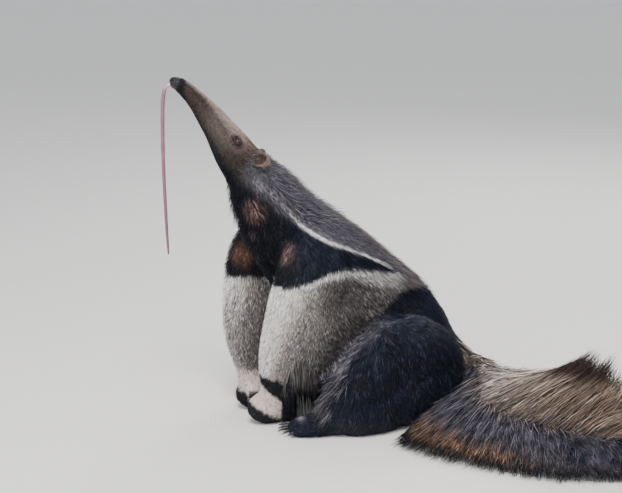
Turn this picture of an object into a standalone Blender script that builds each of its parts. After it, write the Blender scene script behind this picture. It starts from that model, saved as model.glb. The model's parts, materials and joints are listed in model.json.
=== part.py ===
"""Giant anteater sitting on its haunches, head raised and tongue out: a life-size still model.

Metres. X is the animal's left, Y its back, Z up. The origin is the middle of the seat, on the floor.
The flesh is modelled whole, from lofts that run through named stations, then parted with thin cuts.
"""

import math
import random

import bmesh
import bpy
from mathutils import Matrix, Vector
from mathutils.bvhtree import BVHTree

GAP = 0.0003  # what touching pieces keep between them
FLOOR_CLEAR = 0.0008  # how far the hair stays above the floor
UP = Vector((0, 0, 1))

# How fine the flesh is: the voxel that melts the lofts together, and the triangles that stay
FLESH_VOXEL = 0.009
FLESH_SMOOTHING = 5
FLESH_TRIANGLES = 2780
BODY_SIDES = 20
HEAD_SIDES = 18

# A station is (x, y, z, half width, half depth, yaw in degrees): the coat's surface, not the bone.
# The chest turns towards the animal's left, and the head turns back to its right.
TRUNK = (
    (0.045, 0.138, 0.072, 0.058, 0.052, 0),  # tail root
    (0.022, 0.062, 0.105, 0.128, 0.097, 0),  # rump
    (0.000, -0.010, 0.160, 0.156, 0.134, 0),  # pelvis
    (0.000, -0.099, 0.241, 0.160, 0.148, 4),  # loin
    (0.000, -0.195, 0.330, 0.155, 0.145, 9),  # ribs
    (0.000, -0.290, 0.415, 0.140, 0.142, 15),  # chest
    (0.000, -0.362, 0.490, 0.115, 0.122, 18),  # withers
    (0.000, -0.412, 0.560, 0.088, 0.102, 10),  # neck root
    (0.002, -0.450, 0.622, 0.074, 0.087, -6),  # neck
)
HEAD = (
    (-0.001, -0.482, 0.676, 0.062, 0.067, -16),  # behind the ears
    (-0.009, -0.505, 0.711, 0.056, 0.0590, -18.6),  # cheek
    (-0.017, -0.527, 0.748, 0.047, 0.0525, -18.6),  # eyes
    (-0.025, -0.551, 0.789, 0.037, 0.0430, -18.6),  # bridge
    (-0.034, -0.578, 0.829, 0.031, 0.0355, -18.6),  # middle of the snout
    (-0.044, -0.607, 0.868, 0.0255, 0.0270, -18.6),  # fore part of the snout
    (-0.055, -0.639, 0.901, 0.0205, 0.0220, -18.6),  # behind the nose
    (-0.0605, -0.656, 0.911, 0.0185, 0.0195, -18.6),  # nose
    (-0.0648, -0.669, 0.9155, 0.0140, 0.0150, -18.6),  # lips
    (-0.0666, -0.6745, 0.9168, 0.0085, 0.0095, -18.6),  # tip
)
HEAD_LEFT = Vector((0.947, -0.32, 0)).normalized()

FORELEG_LEFT = (
    (0.052, -0.345, 0.530, 0.030, 0.050, 18),  # top of the shoulder blade, inside the trunk
    (0.094, -0.340, 0.482, 0.064, 0.086, 18),  # shoulder blade
    (0.118, -0.345, 0.425, 0.080, 0.105, 15),  # point of the shoulder
    (0.120, -0.362, 0.350, 0.076, 0.112, 12),  # upper arm
    (0.112, -0.392, 0.275, 0.068, 0.096, 8),  # elbow
    (0.102, -0.422, 0.205, 0.059, 0.073, 5),  # forearm
    (0.092, -0.437, 0.145, 0.048, 0.055, 3),  # above the wrist
    (0.084, -0.440, 0.100, 0.040, 0.043, 3),  # wrist
    (0.078, -0.442, 0.060, 0.040, 0.046, 3),  # into the paw
)
FORELEG_RIGHT = (
    (-0.050, -0.375, 0.530, 0.030, 0.050, 18),
    (-0.092, -0.398, 0.475, 0.062, 0.080, 18),
    (-0.112, -0.422, 0.420, 0.070, 0.088, 15),
    (-0.112, -0.436, 0.350, 0.066, 0.088, 12),
    (-0.108, -0.450, 0.280, 0.060, 0.078, 8),
    (-0.098, -0.462, 0.210, 0.053, 0.066, 5),
    (-0.082, -0.466, 0.145, 0.044, 0.050, 3),
    (-0.070, -0.462, 0.100, 0.037, 0.040, 3),
    (-0.056, -0.455, 0.060, 0.038, 0.042, 3),
)
HINDLEG = (
    (0.085, 0.012, 0.125, 0.098, 0.100, 0),  # hip
    (0.150, -0.048, 0.155, 0.112, 0.114, 0),  # thigh
    (0.195, -0.105, 0.195, 0.098, 0.108, 0),  # above the knee
    (0.215, -0.168, 0.205, 0.078, 0.092, 0),  # knee
    (0.222, -0.228, 0.158, 0.068, 0.084, 0),  # shin
    (0.216, -0.285, 0.102, 0.056, 0.066, 0),  # above the ankle
    (0.206, -0.330, 0.055, 0.043, 0.046, 0),  # ankle
)
HINDFOOT = (
    (0.216, -0.275, 0.036, 0.036, 0.036, 0),  # heel
    (0.208, -0.325, 0.036, 0.040, 0.037, 0),  # instep
    (0.194, -0.375, 0.028, 0.044, 0.030, 0),  # ball
    (0.180, -0.415, 0.021, 0.041, 0.022, 0),  # toes
    (0.172, -0.436, 0.016, 0.030, 0.015, 0),  # toe tips
)
# Rounded masses that the lofts don't give: centre and half sizes
MASSES = (
    ((0.0, 0.000, 0.090), (0.158, 0.136, 0.096)),  # seat
    ((0.0, -0.150, 0.175), (0.165, 0.170, 0.150)),  # belly
    ((0.0, -0.335, 0.330), (0.105, 0.090, 0.110)),  # brisket
)
HAUNCH = ((0.162, -0.096, 0.110), (0.128, 0.170, 0.128))
SHANK = ((0.212, -0.225, 0.062), (0.070, 0.130, 0.078))  # calf and sole, folded under the thigh
FLANK = ((0.124, -0.262, 0.225), (0.066, 0.132, 0.165))  # skin fold from the elbow to the knee
PAW_SIZE = (0.043, 0.066, 0.048)
PAW_CENTRES = {"left": (0.070, -0.452, 0.044), "right": (-0.046, -0.448, 0.044)}

# The tail leaves the seat, swings to the animal's left and curls back. Core: (x, y, z, radius)
TAIL = (
    (0.045, 0.142, 0.074, 0.050),
    (0.130, 0.152, 0.080, 0.052),
    (0.225, 0.125, 0.080, 0.048),
    (0.320, 0.095, 0.080, 0.044),
    (0.415, 0.085, 0.078, 0.040),
    (0.510, 0.110, 0.075, 0.036),
    (0.605, 0.175, 0.070, 0.031),
    (0.685, 0.260, 0.065, 0.025),
    (0.735, 0.360, 0.060, 0.016),
)
# Where its hair ends beside the same stations: on the floor towards the camera, and standing behind
NEAR_TIPS = (
    (0.105, 0.040, 0.003),
    (0.225, -0.050, 0.003),
    (0.312, -0.140, 0.003),
    (0.348, -0.203, 0.003),
    (0.464, -0.152, 0.003),
    (0.598, -0.034, 0.003),
    (0.694, 0.086, 0.003),
    (0.752, 0.235, 0.003),
    (0.808, 0.372, 0.003),
)
FAR_TIPS = (
    (0.130, 0.225, 0.056),
    (0.213, 0.262, 0.081),
    (0.320, 0.275, 0.112),
    (0.420, 0.268, 0.185),
    (0.470, 0.280, 0.240),
    (0.548, 0.280, 0.256),
    (0.632, 0.290, 0.232),
    (0.722, 0.340, 0.190),
    (0.790, 0.450, 0.110),
)
END_TIP = (0.815, 0.610, 0.020)
CORE_REACH = 0.44  # how far the tail's solid core goes from its axis towards the hair's tips
# The tail is divided by chevrons that follow the lie of its hair:
# share of the core, the way to the near edge and the way to the far edge, in plan
TAIL_CUTS = ((0.36, (0.16, -0.98), (0.69, 0.72)), (0.68, (0.50, -0.86), (0.53, 0.85)))

# The tail's locks, in layers: (side, count, lead along the tail, how far up its reach, widest)
TAIL_LAYERS = (
    ("near", 13, 0.050, 1.07, 0.066),
    ("near", 5, 0.080, 0.80, 0.066),
    ("far", 12, 0.170, 1.04, 0.066),
    ("far", 5, 0.200, 0.78, 0.064),
    ("top", 4, 0.240, 0.55, 0.060),
)
END_LOCKS = 5
LOCK_THICK = 0.011

# The coat's locks lie along the body. Rows run from one (y, z) to another as seen from the side:
# (start, end, count, flow, length, widest)
COAT_ROWS = (
    ((-0.345, 0.545), (0.045, 0.215), 7, (0, 0.80, -0.62), 0.125, 0.052),
    ((-0.330, 0.440), (-0.030, 0.255), 5, (0, 0.72, -0.70), 0.120, 0.056),
    ((-0.175, 0.290), (0.070, 0.150), 4, (0, 0.62, -0.80), 0.115, 0.056),
    ((-0.225, 0.215), (0.020, 0.085), 4, (0, 0.45, -0.90), 0.095, 0.052),
    ((-0.300, 0.360), (-0.275, 0.180), 3, (0, 0.42, -0.90), 0.095, 0.048),
)
# The crest runs from the neck to the rump: across the spine, lock by lock
CREST_FROM, CREST_TO = 0.90, 0.10  # shares of the trunk's stations
CREST_ROWS = ((-0.032, 7), (0.0, 10), (0.032, 7))
CREST_LENGTH = 0.125
CREST_WIDE = 0.038
COAT_STAND = 0.011  # how far a lock's tip stands off the flesh
COAT_SINK = 0.008  # how deep its root lies
COAT_THICK = 0.008

EYE_RADIUS = 0.0085
EYE_RISE = 0.026  # how far the eye lies above the head's centre line
EAR_SIZE = 0.021
EAR_WALL = 0.0035
TONGUE = (  # (x, y, z, radius): out of the mouth, over the lower lip and straight down
    (-0.0560, -0.6420, 0.8985, 0.0050),
    (-0.0635, -0.6660, 0.9060, 0.0056),
    (-0.0687, -0.6800, 0.9005, 0.0068),
    (-0.0718, -0.6858, 0.8790, 0.0074),
    (-0.0731, -0.6888, 0.8450, 0.0074),
    (-0.0736, -0.6905, 0.7700, 0.0070),
    (-0.0733, -0.6905, 0.6800, 0.0066),
    (-0.0722, -0.6890, 0.5950, 0.0062),
    (-0.0705, -0.6868, 0.5100, 0.0053),
    (-0.0690, -0.6845, 0.4530, 0.0032),
)

COLOURS = {
    "coat_dark": (0.035, 0.033, 0.036),
    "coat_grey": (0.20, 0.18, 0.165),
    "coat_pale": (0.62, 0.57, 0.50),
    "coat_snout": (0.30, 0.24, 0.20),
    "coat_tail": (0.11, 0.085, 0.065),
    "eye": (0.02, 0.015, 0.015),
    "tongue": (0.55, 0.30, 0.42),
    "claw": (0.06, 0.05, 0.045),
}


def clear_scene():
    for old in list(bpy.data.objects):
        bpy.data.objects.remove(old)


def collection(name):
    made = bpy.data.collections.new(name)
    bpy.context.scene.collection.children.link(made)
    return made


def material(name, roughness):
    made = bpy.data.materials.new(name)
    made.use_nodes = True
    shader = made.node_tree.nodes["Principled BSDF"]
    shader.inputs["Base Color"].default_value = (*COLOURS[name], 1)
    shader.inputs["Roughness"].default_value = roughness
    shader.inputs["Metallic"].default_value = 0
    return made


def object_from(bm, name, home):
    """Closes a bmesh into an object of that collection, its faces pointing out."""
    bmesh.ops.recalc_face_normals(bm, faces=bm.faces)
    if bm.calc_volume(signed=True) < 0:
        bmesh.ops.reverse_faces(bm, faces=bm.faces)
    mesh = bpy.data.meshes.new(name)
    bm.to_mesh(mesh)
    bm.free()
    made = bpy.data.objects.new(name, mesh)
    home.objects.link(made)
    return made


def smooth_rows(rows, spans):
    """Catmull-Rom through rows of numbers, with that many steps between neighbours."""
    padded = [rows[0], *rows, rows[-1]]
    found = []
    for a, b, c, d in zip(padded, padded[1:], padded[2:], padded[3:]):
        for step in range(spans):
            t = step / spans
            found.append(
                [
                    0.5 * (2 * q + (r - p) * t + (2 * p - 5 * q + 4 * r - s) * t**2
                           + (3 * q - p - 3 * r + s) * t**3)
                    for p, q, r, s in zip(a, b, c, d)
                ]
            )
    found.append(list(rows[-1]))
    return found


def ring(bm, centre, across, deep, sides):
    """One elliptical section: across and deep are its half axes as vectors."""
    angles = [2 * math.pi * k / sides for k in range(sides)]
    return [bm.verts.new(centre + across * math.cos(a) + deep * math.sin(a)) for a in angles]


def bridge(bm, first, second):
    for k in range(len(first)):
        n = (k + 1) % len(first)
        bm.faces.new((first[k], first[n], second[n], second[k]))


def loft(name, stations, sides, home, spans=3):
    """A tube through stations of (x, y, z, half width, half depth, yaw), closed by flat caps."""
    rows = smooth_rows(stations, spans)
    centres = [Vector(row[:3]) for row in rows]
    bm = bmesh.new()
    rings = []
    for k, row in enumerate(rows):
        along = (centres[min(k + 1, len(rows) - 1)] - centres[max(k - 1, 0)]).normalized()
        yaw = math.radians(row[5])
        across = Vector((math.cos(yaw), math.sin(yaw), 0))
        across = (across - along * across.dot(along)).normalized()
        rings.append(ring(bm, centres[k], across * row[3], along.cross(across) * row[4], sides))
    for first, second in zip(rings, rings[1:]):
        bridge(bm, first, second)
    bm.faces.new(rings[0])
    bm.faces.new(rings[-1])
    return object_from(bm, name, home)


def ellipsoid(name, centre, half_sizes, home, segments=20):
    bm = bmesh.new()
    bmesh.ops.create_uvsphere(bm, u_segments=segments, v_segments=segments // 2, radius=1)
    bmesh.ops.scale(bm, vec=half_sizes, verts=bm.verts)
    bmesh.ops.translate(bm, vec=centre, verts=bm.verts)
    return object_from(bm, name, home)


def block(name, centre, size, home, turn=None):
    """A box, turned about its own centre."""
    bm = bmesh.new()
    bmesh.ops.create_cube(bm, size=1)
    bmesh.ops.scale(bm, vec=size, verts=bm.verts)
    if turn is not None:
        bmesh.ops.rotate(bm, cent=(0, 0, 0), matrix=turn, verts=bm.verts)
    bmesh.ops.translate(bm, vec=centre, verts=bm.verts)
    made = object_from(bm, name, home)
    made.hide_render = True
    made.display_type = "WIRE"
    return made


def mirrored(stations):
    """The same stations on the animal's right."""
    return [(-x, y, z, width, depth, -yaw) for x, y, z, width, depth, yaw in stations]


def discard(*objects):
    for old in objects:
        bpy.data.objects.remove(old)


def apply_modifiers(thing):
    """Swaps the object's mesh for what its modifiers make of it."""
    graph = bpy.context.evaluated_depsgraph_get()
    mesh = bpy.data.meshes.new_from_object(thing.evaluated_get(graph))
    thing.modifiers.clear()
    thing.data = mesh
    return thing


def copy_of(thing, name, home):
    made = bpy.data.objects.new(name, thing.data.copy())
    home.objects.link(made)
    return made


def keep_largest(thing):
    """Keeps the closed surface that holds the most, and drops hollows and loose scraps."""
    bm = bmesh.new()
    bm.from_mesh(thing.data)
    bmesh.ops.triangulate(bm, faces=bm.faces)
    left = set(bm.verts)
    islands = []
    while left:
        island = {left.pop()}
        edge = list(island)
        while edge:
            vert = edge.pop()
            for link in vert.link_edges:
                other = link.other_vert(vert)
                if other in left:
                    left.remove(other)
                    island.add(other)
                    edge.append(other)
        islands.append(island)
    if len(islands) > 1:
        def volume(island):
            faces = {face for vert in island for face in vert.link_faces}
            return sum(f.verts[0].co.dot(f.verts[1].co.cross(f.verts[2].co)) for f in faces)

        kept = max(islands, key=volume)
        bmesh.ops.delete(bm, geom=[v for v in bm.verts if v not in kept], context="VERTS")
    bm.to_mesh(thing.data)
    bm.free()
    return thing


def boolean(thing, operation, cutter, solver="MANIFOLD"):
    cut = thing.modifiers.new(operation.lower(), "BOOLEAN")
    cut.operation = operation
    cut.solver = solver
    cut.object = cutter
    return apply_modifiers(thing)


def fuse(name, pieces, home, solver="MANIFOLD"):
    """One Boolean union of a node's pieces, of which the largest closed surface stays."""
    base, *others = pieces
    joined = collection(name + "_pieces")
    for other in others:
        joined.objects.link(other)
        home.objects.unlink(other) if other.name in home.objects else None
    union = base.modifiers.new("union", "BOOLEAN")
    union.operation = "UNION"
    union.solver = solver
    union.operand_type = "COLLECTION"
    union.collection = joined
    apply_modifiers(base)
    discard(*others)
    bpy.data.collections.remove(joined)
    base.name = name
    return keep_largest(base)


def grown(thing, home, by=GAP):
    """A copy whose surface stands that far outside the object's."""
    made = copy_of(thing, thing.name + "_grown", home)
    bm = bmesh.new()
    bm.from_mesh(made.data)
    bm.normal_update()
    moves = [(vert, vert.normal * by) for vert in bm.verts]
    for vert, move in moves:
        vert.co += move
    bm.to_mesh(made.data)
    bm.free()
    made.hide_render = True
    return made


def clear_of(thing, others, cutters, by=GAP, solver="MANIFOLD"):
    """Cuts the object back so that it keeps the gap to its neighbours."""
    for other in others:
        for step in (by, by / 3, 0):
            fat = grown(other, cutters, step)
            boolean(thing, "DIFFERENCE", fat, solver)
            discard(fat)
    return keep_largest(thing)


def flesh(home):
    """Trunk, neck and limbs melted into one surface."""
    lofts = [
        loft("trunk", (*TRUNK, *HEAD[:2]), BODY_SIDES, home),
        loft("foreleg_l", FORELEG_LEFT, BODY_SIDES, home),
        loft("foreleg_r", FORELEG_RIGHT, BODY_SIDES, home),
        loft("hindleg_l", HINDLEG, BODY_SIDES, home),
        loft("hindleg_r", mirrored(HINDLEG), BODY_SIDES, home),
        loft("hindfoot_l", HINDFOOT, BODY_SIDES, home),
        loft("hindfoot_r", mirrored(HINDFOOT), BODY_SIDES, home),
    ]
    masses = list(MASSES)
    for centre, size in (HAUNCH, SHANK, FLANK):
        masses += [(centre, size), ((-centre[0], *centre[1:]), size)]
    masses += [(centre, PAW_SIZE) for centre in PAW_CENTRES.values()]
    lofts += [ellipsoid(f"mass_{n}", centre, size, home) for n, (centre, size) in enumerate(masses)]
    whole = bmesh.new()
    for piece in lofts:
        whole.from_mesh(piece.data)
    discard(*lofts)
    body = object_from(whole, "flesh", home)
    melt = body.modifiers.new("melt", "REMESH")
    melt.mode = "VOXEL"
    melt.voxel_size = FLESH_VOXEL
    soften = body.modifiers.new("soften", "SMOOTH")
    soften.factor = 0.5
    soften.iterations = FLESH_SMOOTHING
    apply_modifiers(body)
    thin = body.modifiers.new("thin", "DECIMATE")
    thin.ratio = FLESH_TRIANGLES / (2 * len(body.data.polygons))
    apply_modifiers(body)
    return body


def cut_floor(thing, cutters):
    floor = block("floor", (0, 0, -0.5), (4, 4, 1), cutters)
    boolean(thing, "DIFFERENCE", floor)
    discard(floor)
    return keep_largest(thing)


def lock(name, path, facing, width, thick, home, lowest=FLOOR_CLEAR):
    """A flat tapered lock along a path, its broad side turned to the ways in facing."""
    bm = bmesh.new()
    rings = []
    last = len(path) - 1
    for k in range(last):
        share = k / last
        aim = (path[k + 1] - path[max(k - 1, 0)]).normalized()
        wide = aim.cross(facing[k]).normalized()
        body = 0.62 + 0.38 * math.sin(math.pi * min(share * 1.6, 1))
        taper = body * (1 - share ** 3)
        deep = wide.cross(aim).normalized() * thick / 2 * (1 - 0.75 * share)
        half = wide * width / 2 * taper
        rings.append([bm.verts.new(path[k] + off) for off in (half, deep, -half, -deep)])
    for first, second in zip(rings, rings[1:]):
        bridge(bm, first, second)
    tip = bm.verts.new(path[-1])
    for k in range(4):
        bm.faces.new((rings[-1][k], rings[-1][(k + 1) % 4], tip))
    bm.faces.new(rings[0])
    for vert in bm.verts:
        vert.co.z = max(vert.co.z, lowest)
    bmesh.ops.triangulate(bm, faces=bm.faces)
    return object_from(bm, name, home)


def surface_of(thing):
    bm = bmesh.new()
    bm.from_mesh(thing.data)
    tree = BVHTree.FromBMesh(bm)
    bm.free()
    return tree


def coat_lock(name, tree, root, flow, length, width, home, steps=3):
    """A lock that follows the flesh from a point on it and lifts off towards its tip."""
    place, normal, _, _ = tree.find_nearest(root)
    way = Vector(flow).normalized()
    path, facing = [place - normal * COAT_SINK], [normal]
    for k in range(1, steps + 1):
        way = (way - normal * way.dot(normal)).normalized()
        found = tree.find_nearest(place + way * length / steps)
        place, normal = found[0], found[1]
        rise = COAT_STAND * (k / steps) ** 1.5 - COAT_SINK * 0.2 * (1 - k / steps)
        path.append(place + normal * rise)
        facing.append(normal)
    return lock(name, path, facing, width, COAT_THICK, home)


def coat_locks(body, home, rng):
    """The body's long hair: rows on both flanks and haunches, and the crest along the spine."""
    tree = surface_of(body)
    made = []
    for row, (start, end, count, flow, length, width) in enumerate(COAT_ROWS):
        for side in (1, -1):
            for k in range(count):
                share = (k + rng.uniform(0.3, 0.7)) / count
                y = start[0] + (end[0] - start[0]) * share
                z = start[1] + (end[1] - start[1]) * share
                hit = tree.ray_cast(Vector((side * 2, y, z)), Vector((-side, 0, 0)))[0]
                if hit is None:
                    continue
                sway = Vector((0, rng.uniform(-0.12, 0.12), rng.uniform(-0.08, 0.08)))
                made.append(
                    coat_lock(f"coat_{row}_{side}_{k}", tree, hit, Vector(flow) + sway,
                              length * rng.uniform(0.85, 1.1), width, home)
                )
    for row, (offset, count) in enumerate(CREST_ROWS):
        for k in range(count):
            share = (k + 0.5 * (row % 2) + rng.uniform(-0.12, 0.12)) / (count - 0.5)
            along = CREST_FROM + (CREST_TO - CREST_FROM) * min(max(share, 0), 1)
            station = sample(TRUNK, along)
            behind = sample(TRUNK, along - 0.06)
            flow = Vector(behind[:3]) - Vector(station[:3])
            back = Vector((0, -flow.z, flow.y)).normalized()
            back = back if back.z > 0 else -back
            root = Vector(station[:3]) + back * station[4] * 1.05 + Vector((offset, 0, 0))
            flow += Vector((offset * rng.uniform(0.2, 0.8), 0, 0))
            made.append(
                coat_lock(f"crest_{row}_{k}", tree, root, flow,
                          CREST_LENGTH * rng.uniform(0.85, 1.1), CREST_WIDE, home)
            )
    return made


# Where the flesh is parted. A cell is what lies behind all of its planes: (point, outward normal).
# Those of the animal's left; a cell named for both sides is mirrored for the right.
HINDFOOT_CELL = (
    ((0.20, -0.312, 0.055), (0, 0.90, 0.44)),
    ((0.11, -0.40, 0.05), (-1, 0, 0)),
    ((0.20, -0.40, 0.10), (0, 0, 1)),
)
HINDLEG_CELL = (
    ((0.080, -0.10, 0.00), (-0.97, 0, 0.24)),
    ((0.22, -0.280, 0.200), (-0.25, -0.72, 0.65)),
    ((0.20, -0.10, 0.33), (0.1, 0.1, 1)),
)
FOREPAW_CELLS = {
    "left": (
        ((0.08, -0.44, 0.088), (0, -0.14, 1)),
        ((0.02, -0.45, 0.05), (-1, 0, 0)),
        ((0.08, -0.365, 0.05), (0, 1, 0)),
    ),
    "right": (
        ((-0.05, -0.46, 0.088), (0, -0.14, 1)),
        ((0.01, -0.46, 0.05), (1, 0, 0)),
        ((-0.05, -0.365, 0.05), (0, 1, 0)),
    ),
}
FORELEG_CELLS = {
    "left": (
        ((0.020, -0.42, 0.09), (-0.984, 0, 0.178)),
        ((0.12, -0.270, 0.25), (0.15, 1, 0.10)),
        ((0.12, -0.40, 0.475), (-0.35, 0.10, 0.93)),
    ),
    "right": (
        ((-0.012, -0.45, 0.10), (0.98, 0, 0.20)),
        ((-0.12, -0.335, 0.25), (-0.15, 1, 0.10)),
        ((-0.12, -0.44, 0.462), (0.35, 0.10, 0.93)),
    ),
}
NECK_CUT = ((0.0, -0.405, 0.548), (0.0, -0.55, 0.84))  # a point of the cut, and its normal
HEAD_CUT = ((-0.001, -0.482, 0.676), (-0.12, -0.52, 0.84))


def beyond(name, cut, cutters, margin):
    """A large block on the far side of a cut plane, set back by margin."""
    point, normal = Vector(cut[0]), Vector(cut[1]).normalized()
    turn = normal.to_track_quat("Z", "Y").to_matrix()
    size = 4
    return block(name, point + normal * (size / 2 + margin), (size, size, size), cutters, turn)


def cell_block(name, planes, side, cutters, margin):
    """The convex block behind all of a cell's planes, each moved out by margin."""
    sign = 1 if side == "left" else -1
    cell = block(name, (0, 0, 0), (3, 3, 3), cutters)
    for point, normal in planes:
        place = (point[0] * sign, *point[1:])
        aim = (normal[0] * sign, *normal[1:])
        far = beyond("far", (place, aim), cutters, margin)
        boolean(cell, "DIFFERENCE", far)
        discard(far)
    return cell


def part_flesh(body, home, cutters):
    """Cuts the whole flesh into named nodes, each clear of its neighbours by the gap."""
    nodes = {}
    cells = []
    for side in ("left", "right"):
        cells.append((f"hindfoot_{side}", HINDFOOT_CELL, side))
        cells.append((f"hindleg_{side}", HINDLEG_CELL, side))
        cells.append((f"forepaw_{side}", FOREPAW_CELLS[side], "left"))
        cells.append((f"foreleg_{side}", FORELEG_CELLS[side], "left"))
    cells.append(("head_stub", ((HEAD_CUT[0], [-n for n in HEAD_CUT[1]]),), "left"))
    cells.append(("neck", ((NECK_CUT[0], [-n for n in NECK_CUT[1]]),), "left"))
    for name, planes, side in cells:
        cell = cell_block(name + "_cell", planes, side, cutters, -GAP / 2)
        wider = cell_block(name + "_wide", planes, side, cutters, GAP / 2)
        nodes[name] = keep_largest(boolean(copy_of(body, name, home), "INTERSECT", cell))
        keep_largest(boolean(body, "DIFFERENCE", wider))
        discard(cell, wider)
    body.name = "torso"
    nodes["torso"] = body
    discard(nodes.pop("head_stub"))
    return nodes


def head_axes(station):
    """The head's centre, its way forward and its way up at one station."""
    k = HEAD.index(station)
    near, far = HEAD[max(k - 1, 0)], HEAD[min(k + 1, len(HEAD) - 1)]
    forward = (Vector(far[:3]) - Vector(near[:3])).normalized()
    return Vector(station[:3]), forward, HEAD_LEFT.cross(forward).normalized() * -1


def eye_place(side):
    """Where an eyeball's centre lies: just under the skin beside the head."""
    station = HEAD[2]
    centre, _, up = head_axes(station)
    out = station[3] * math.sqrt(1 - (EYE_RISE / station[4]) ** 2) - EYE_RADIUS * 0.62
    return centre + up * EYE_RISE + HEAD_LEFT * out * side


def head(home, cutters):
    """The skull's tube, with lids, nostrils and a mouth where the tongue comes out."""
    skull = loft("head", (TRUNK[-1], *HEAD), HEAD_SIDES, home, spans=2)
    pieces = [skull]
    for side in (1, -1):
        pieces.append(lids(side, home))
    skull = fuse("head", pieces, home)
    behind = beyond("behind", (HEAD_CUT[0], [-n for n in HEAD_CUT[1]]), cutters, -GAP / 2)
    boolean(skull, "DIFFERENCE", behind)
    discard(behind)
    for side in (1, -1):
        for hole in (eye_socket(side, cutters), nostril(side, cutters)):
            boolean(skull, "DIFFERENCE", hole)
            discard(hole)
    for hole in (mouth_slit(cutters), tongue_tube("throat", cutters, 0.0008, grow_end=False)):
        hole.hide_render = True
        boolean(skull, "DIFFERENCE", hole)
        discard(hole)
    return keep_largest(skull)


def lids(side, home):
    """A low ring of folds round the eye."""
    place = eye_place(side)
    station = HEAD[2]
    centre, forward, up = head_axes(station)
    out = (HEAD_LEFT * side + up * 0.55).normalized()
    along = (forward - out * forward.dot(out)).normalized()
    turn = Matrix((along.cross(out), along, out)).transposed().to_4x4()
    bm = bmesh.new()
    rings = []
    steps, tube = 12, 0.0026
    for k in range(steps):
        a = 2 * math.pi * k / steps
        ray = Vector((math.cos(a) * 0.78, math.sin(a) * 1.30, 0))
        rings.append(ring(bm, ray * EYE_RADIUS, ray * tube * 1.5, UP * tube, 5))
    for first, second in zip(rings, rings[1:] + rings[:1]):
        bridge(bm, first, second)
    bmesh.ops.transform(bm, matrix=Matrix.Translation(place + out * 0.0040) @ turn, verts=bm.verts)
    return object_from(bm, f"lids_{side}", home)


def eye_socket(side, cutters):
    made = ellipsoid("socket", eye_place(side), [EYE_RADIUS + GAP] * 3, cutters, 12)
    made.hide_render = True
    return made


def nostril(side, cutters):
    """A small slanting hole beside the tip of the nose."""
    centre, forward, up = head_axes(HEAD[7])
    place = centre + forward * 0.009 + up * 0.0085 + HEAD_LEFT * side * 0.0122
    made = ellipsoid("nostril", (0, 0, 0), (0.0026, 0.0056, 0.0036), cutters, 10)
    turn = forward.to_track_quat("Y", "Z").to_matrix().to_4x4()
    made.data.transform(Matrix.Translation(place) @ turn)
    made.hide_render = True
    return made


def mouth_slit(cutters):
    """The line of the mouth: a thin slit that runs back from the lips on both sides."""
    centre, forward, up = head_axes(HEAD[7])
    length, width, height = 0.030, 0.07, 0.0022
    turn = Matrix((HEAD_LEFT, -up, forward)).transposed()
    place = centre + forward * 0.011 - up * 0.0045
    return block("slit", place, (width, height, length), cutters, turn)


def tongue_tube(name, home, extra=0.0, grow_end=True):
    rows = smooth_rows(TONGUE, 2)
    centres = [Vector(row[:3]) for row in rows]
    bm = bmesh.new()
    rings = []
    for k, row in enumerate(rows):
        if not grow_end and k > 7:
            break
        along = (centres[min(k + 1, len(rows) - 1)] - centres[max(k - 1, 0)]).normalized()
        across = HEAD_LEFT
        centre = centres[k] - along * (extra if k == 0 else 0)
        radius = row[3] + extra
        rings.append(ring(bm, centre, across * radius, along.cross(across) * radius * 0.85, 8))
    for first, second in zip(rings, rings[1:]):
        bridge(bm, first, second)
    bm.faces.new(rings[0])
    bm.faces.new(rings[-1])
    return object_from(bm, name, home)


def ear(side, home):
    """A small round cup with a thin wall, open forwards and outwards."""
    station = HEAD[1]
    centre, forward, up = head_axes(station)
    root = centre - forward * 0.012 + up * 0.038 + HEAD_LEFT * side * 0.040
    bm = bmesh.new()
    bmesh.ops.create_uvsphere(bm, u_segments=12, v_segments=7, radius=1)
    gone = [vert for vert in bm.verts if vert.co.y > 0.25]
    bmesh.ops.delete(bm, geom=gone, context="VERTS")
    bmesh.ops.scale(bm, vec=(EAR_SIZE * 0.95, EAR_SIZE * 0.55, EAR_SIZE * 1.15), verts=bm.verts)
    made = object_from(bm, "ear_left" if side > 0 else "ear_right", home)
    wall = made.modifiers.new("wall", "SOLIDIFY")
    wall.thickness = EAR_WALL
    wall.offset = 0
    apply_modifiers(made)
    stand = (up * 0.62 - forward * 0.40 + HEAD_LEFT * side * 0.68).normalized()
    facing = (forward * 0.60 + HEAD_LEFT * side * 0.80 + up * 0.1).normalized()
    facing = (facing - stand * facing.dot(stand)).normalized()
    turn = Matrix((facing.cross(stand), facing, stand)).transposed().to_4x4()
    made.data.transform(Matrix.Translation(root + stand * EAR_SIZE * 0.85) @ turn)
    return made


def claw(name, root, along, bend, length, radius, home, steps=5, sides=6):
    """A curved, tapered claw: it starts along one way and bends towards another."""
    bm = bmesh.new()
    rings = []
    place = Vector(root)
    for k in range(steps):
        share = k / steps
        way = (Vector(along) * (1 - share) + Vector(bend) * share).normalized()
        across = way.cross(UP if abs(way.z) < 0.9 else Vector((1, 0, 0))).normalized()
        size = radius * (1 - share) ** 0.7
        rings.append(ring(bm, place, across * size * 0.8, way.cross(across) * size, sides))
        place = place + way * length / steps
    for first, second in zip(rings, rings[1:]):
        bridge(bm, first, second)
    tip = bm.verts.new(place)
    for k in range(sides):
        bm.faces.new((rings[-1][k], rings[-1][(k + 1) % sides], tip))
    bm.faces.new(rings[0])
    return object_from(bm, name, home)


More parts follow.
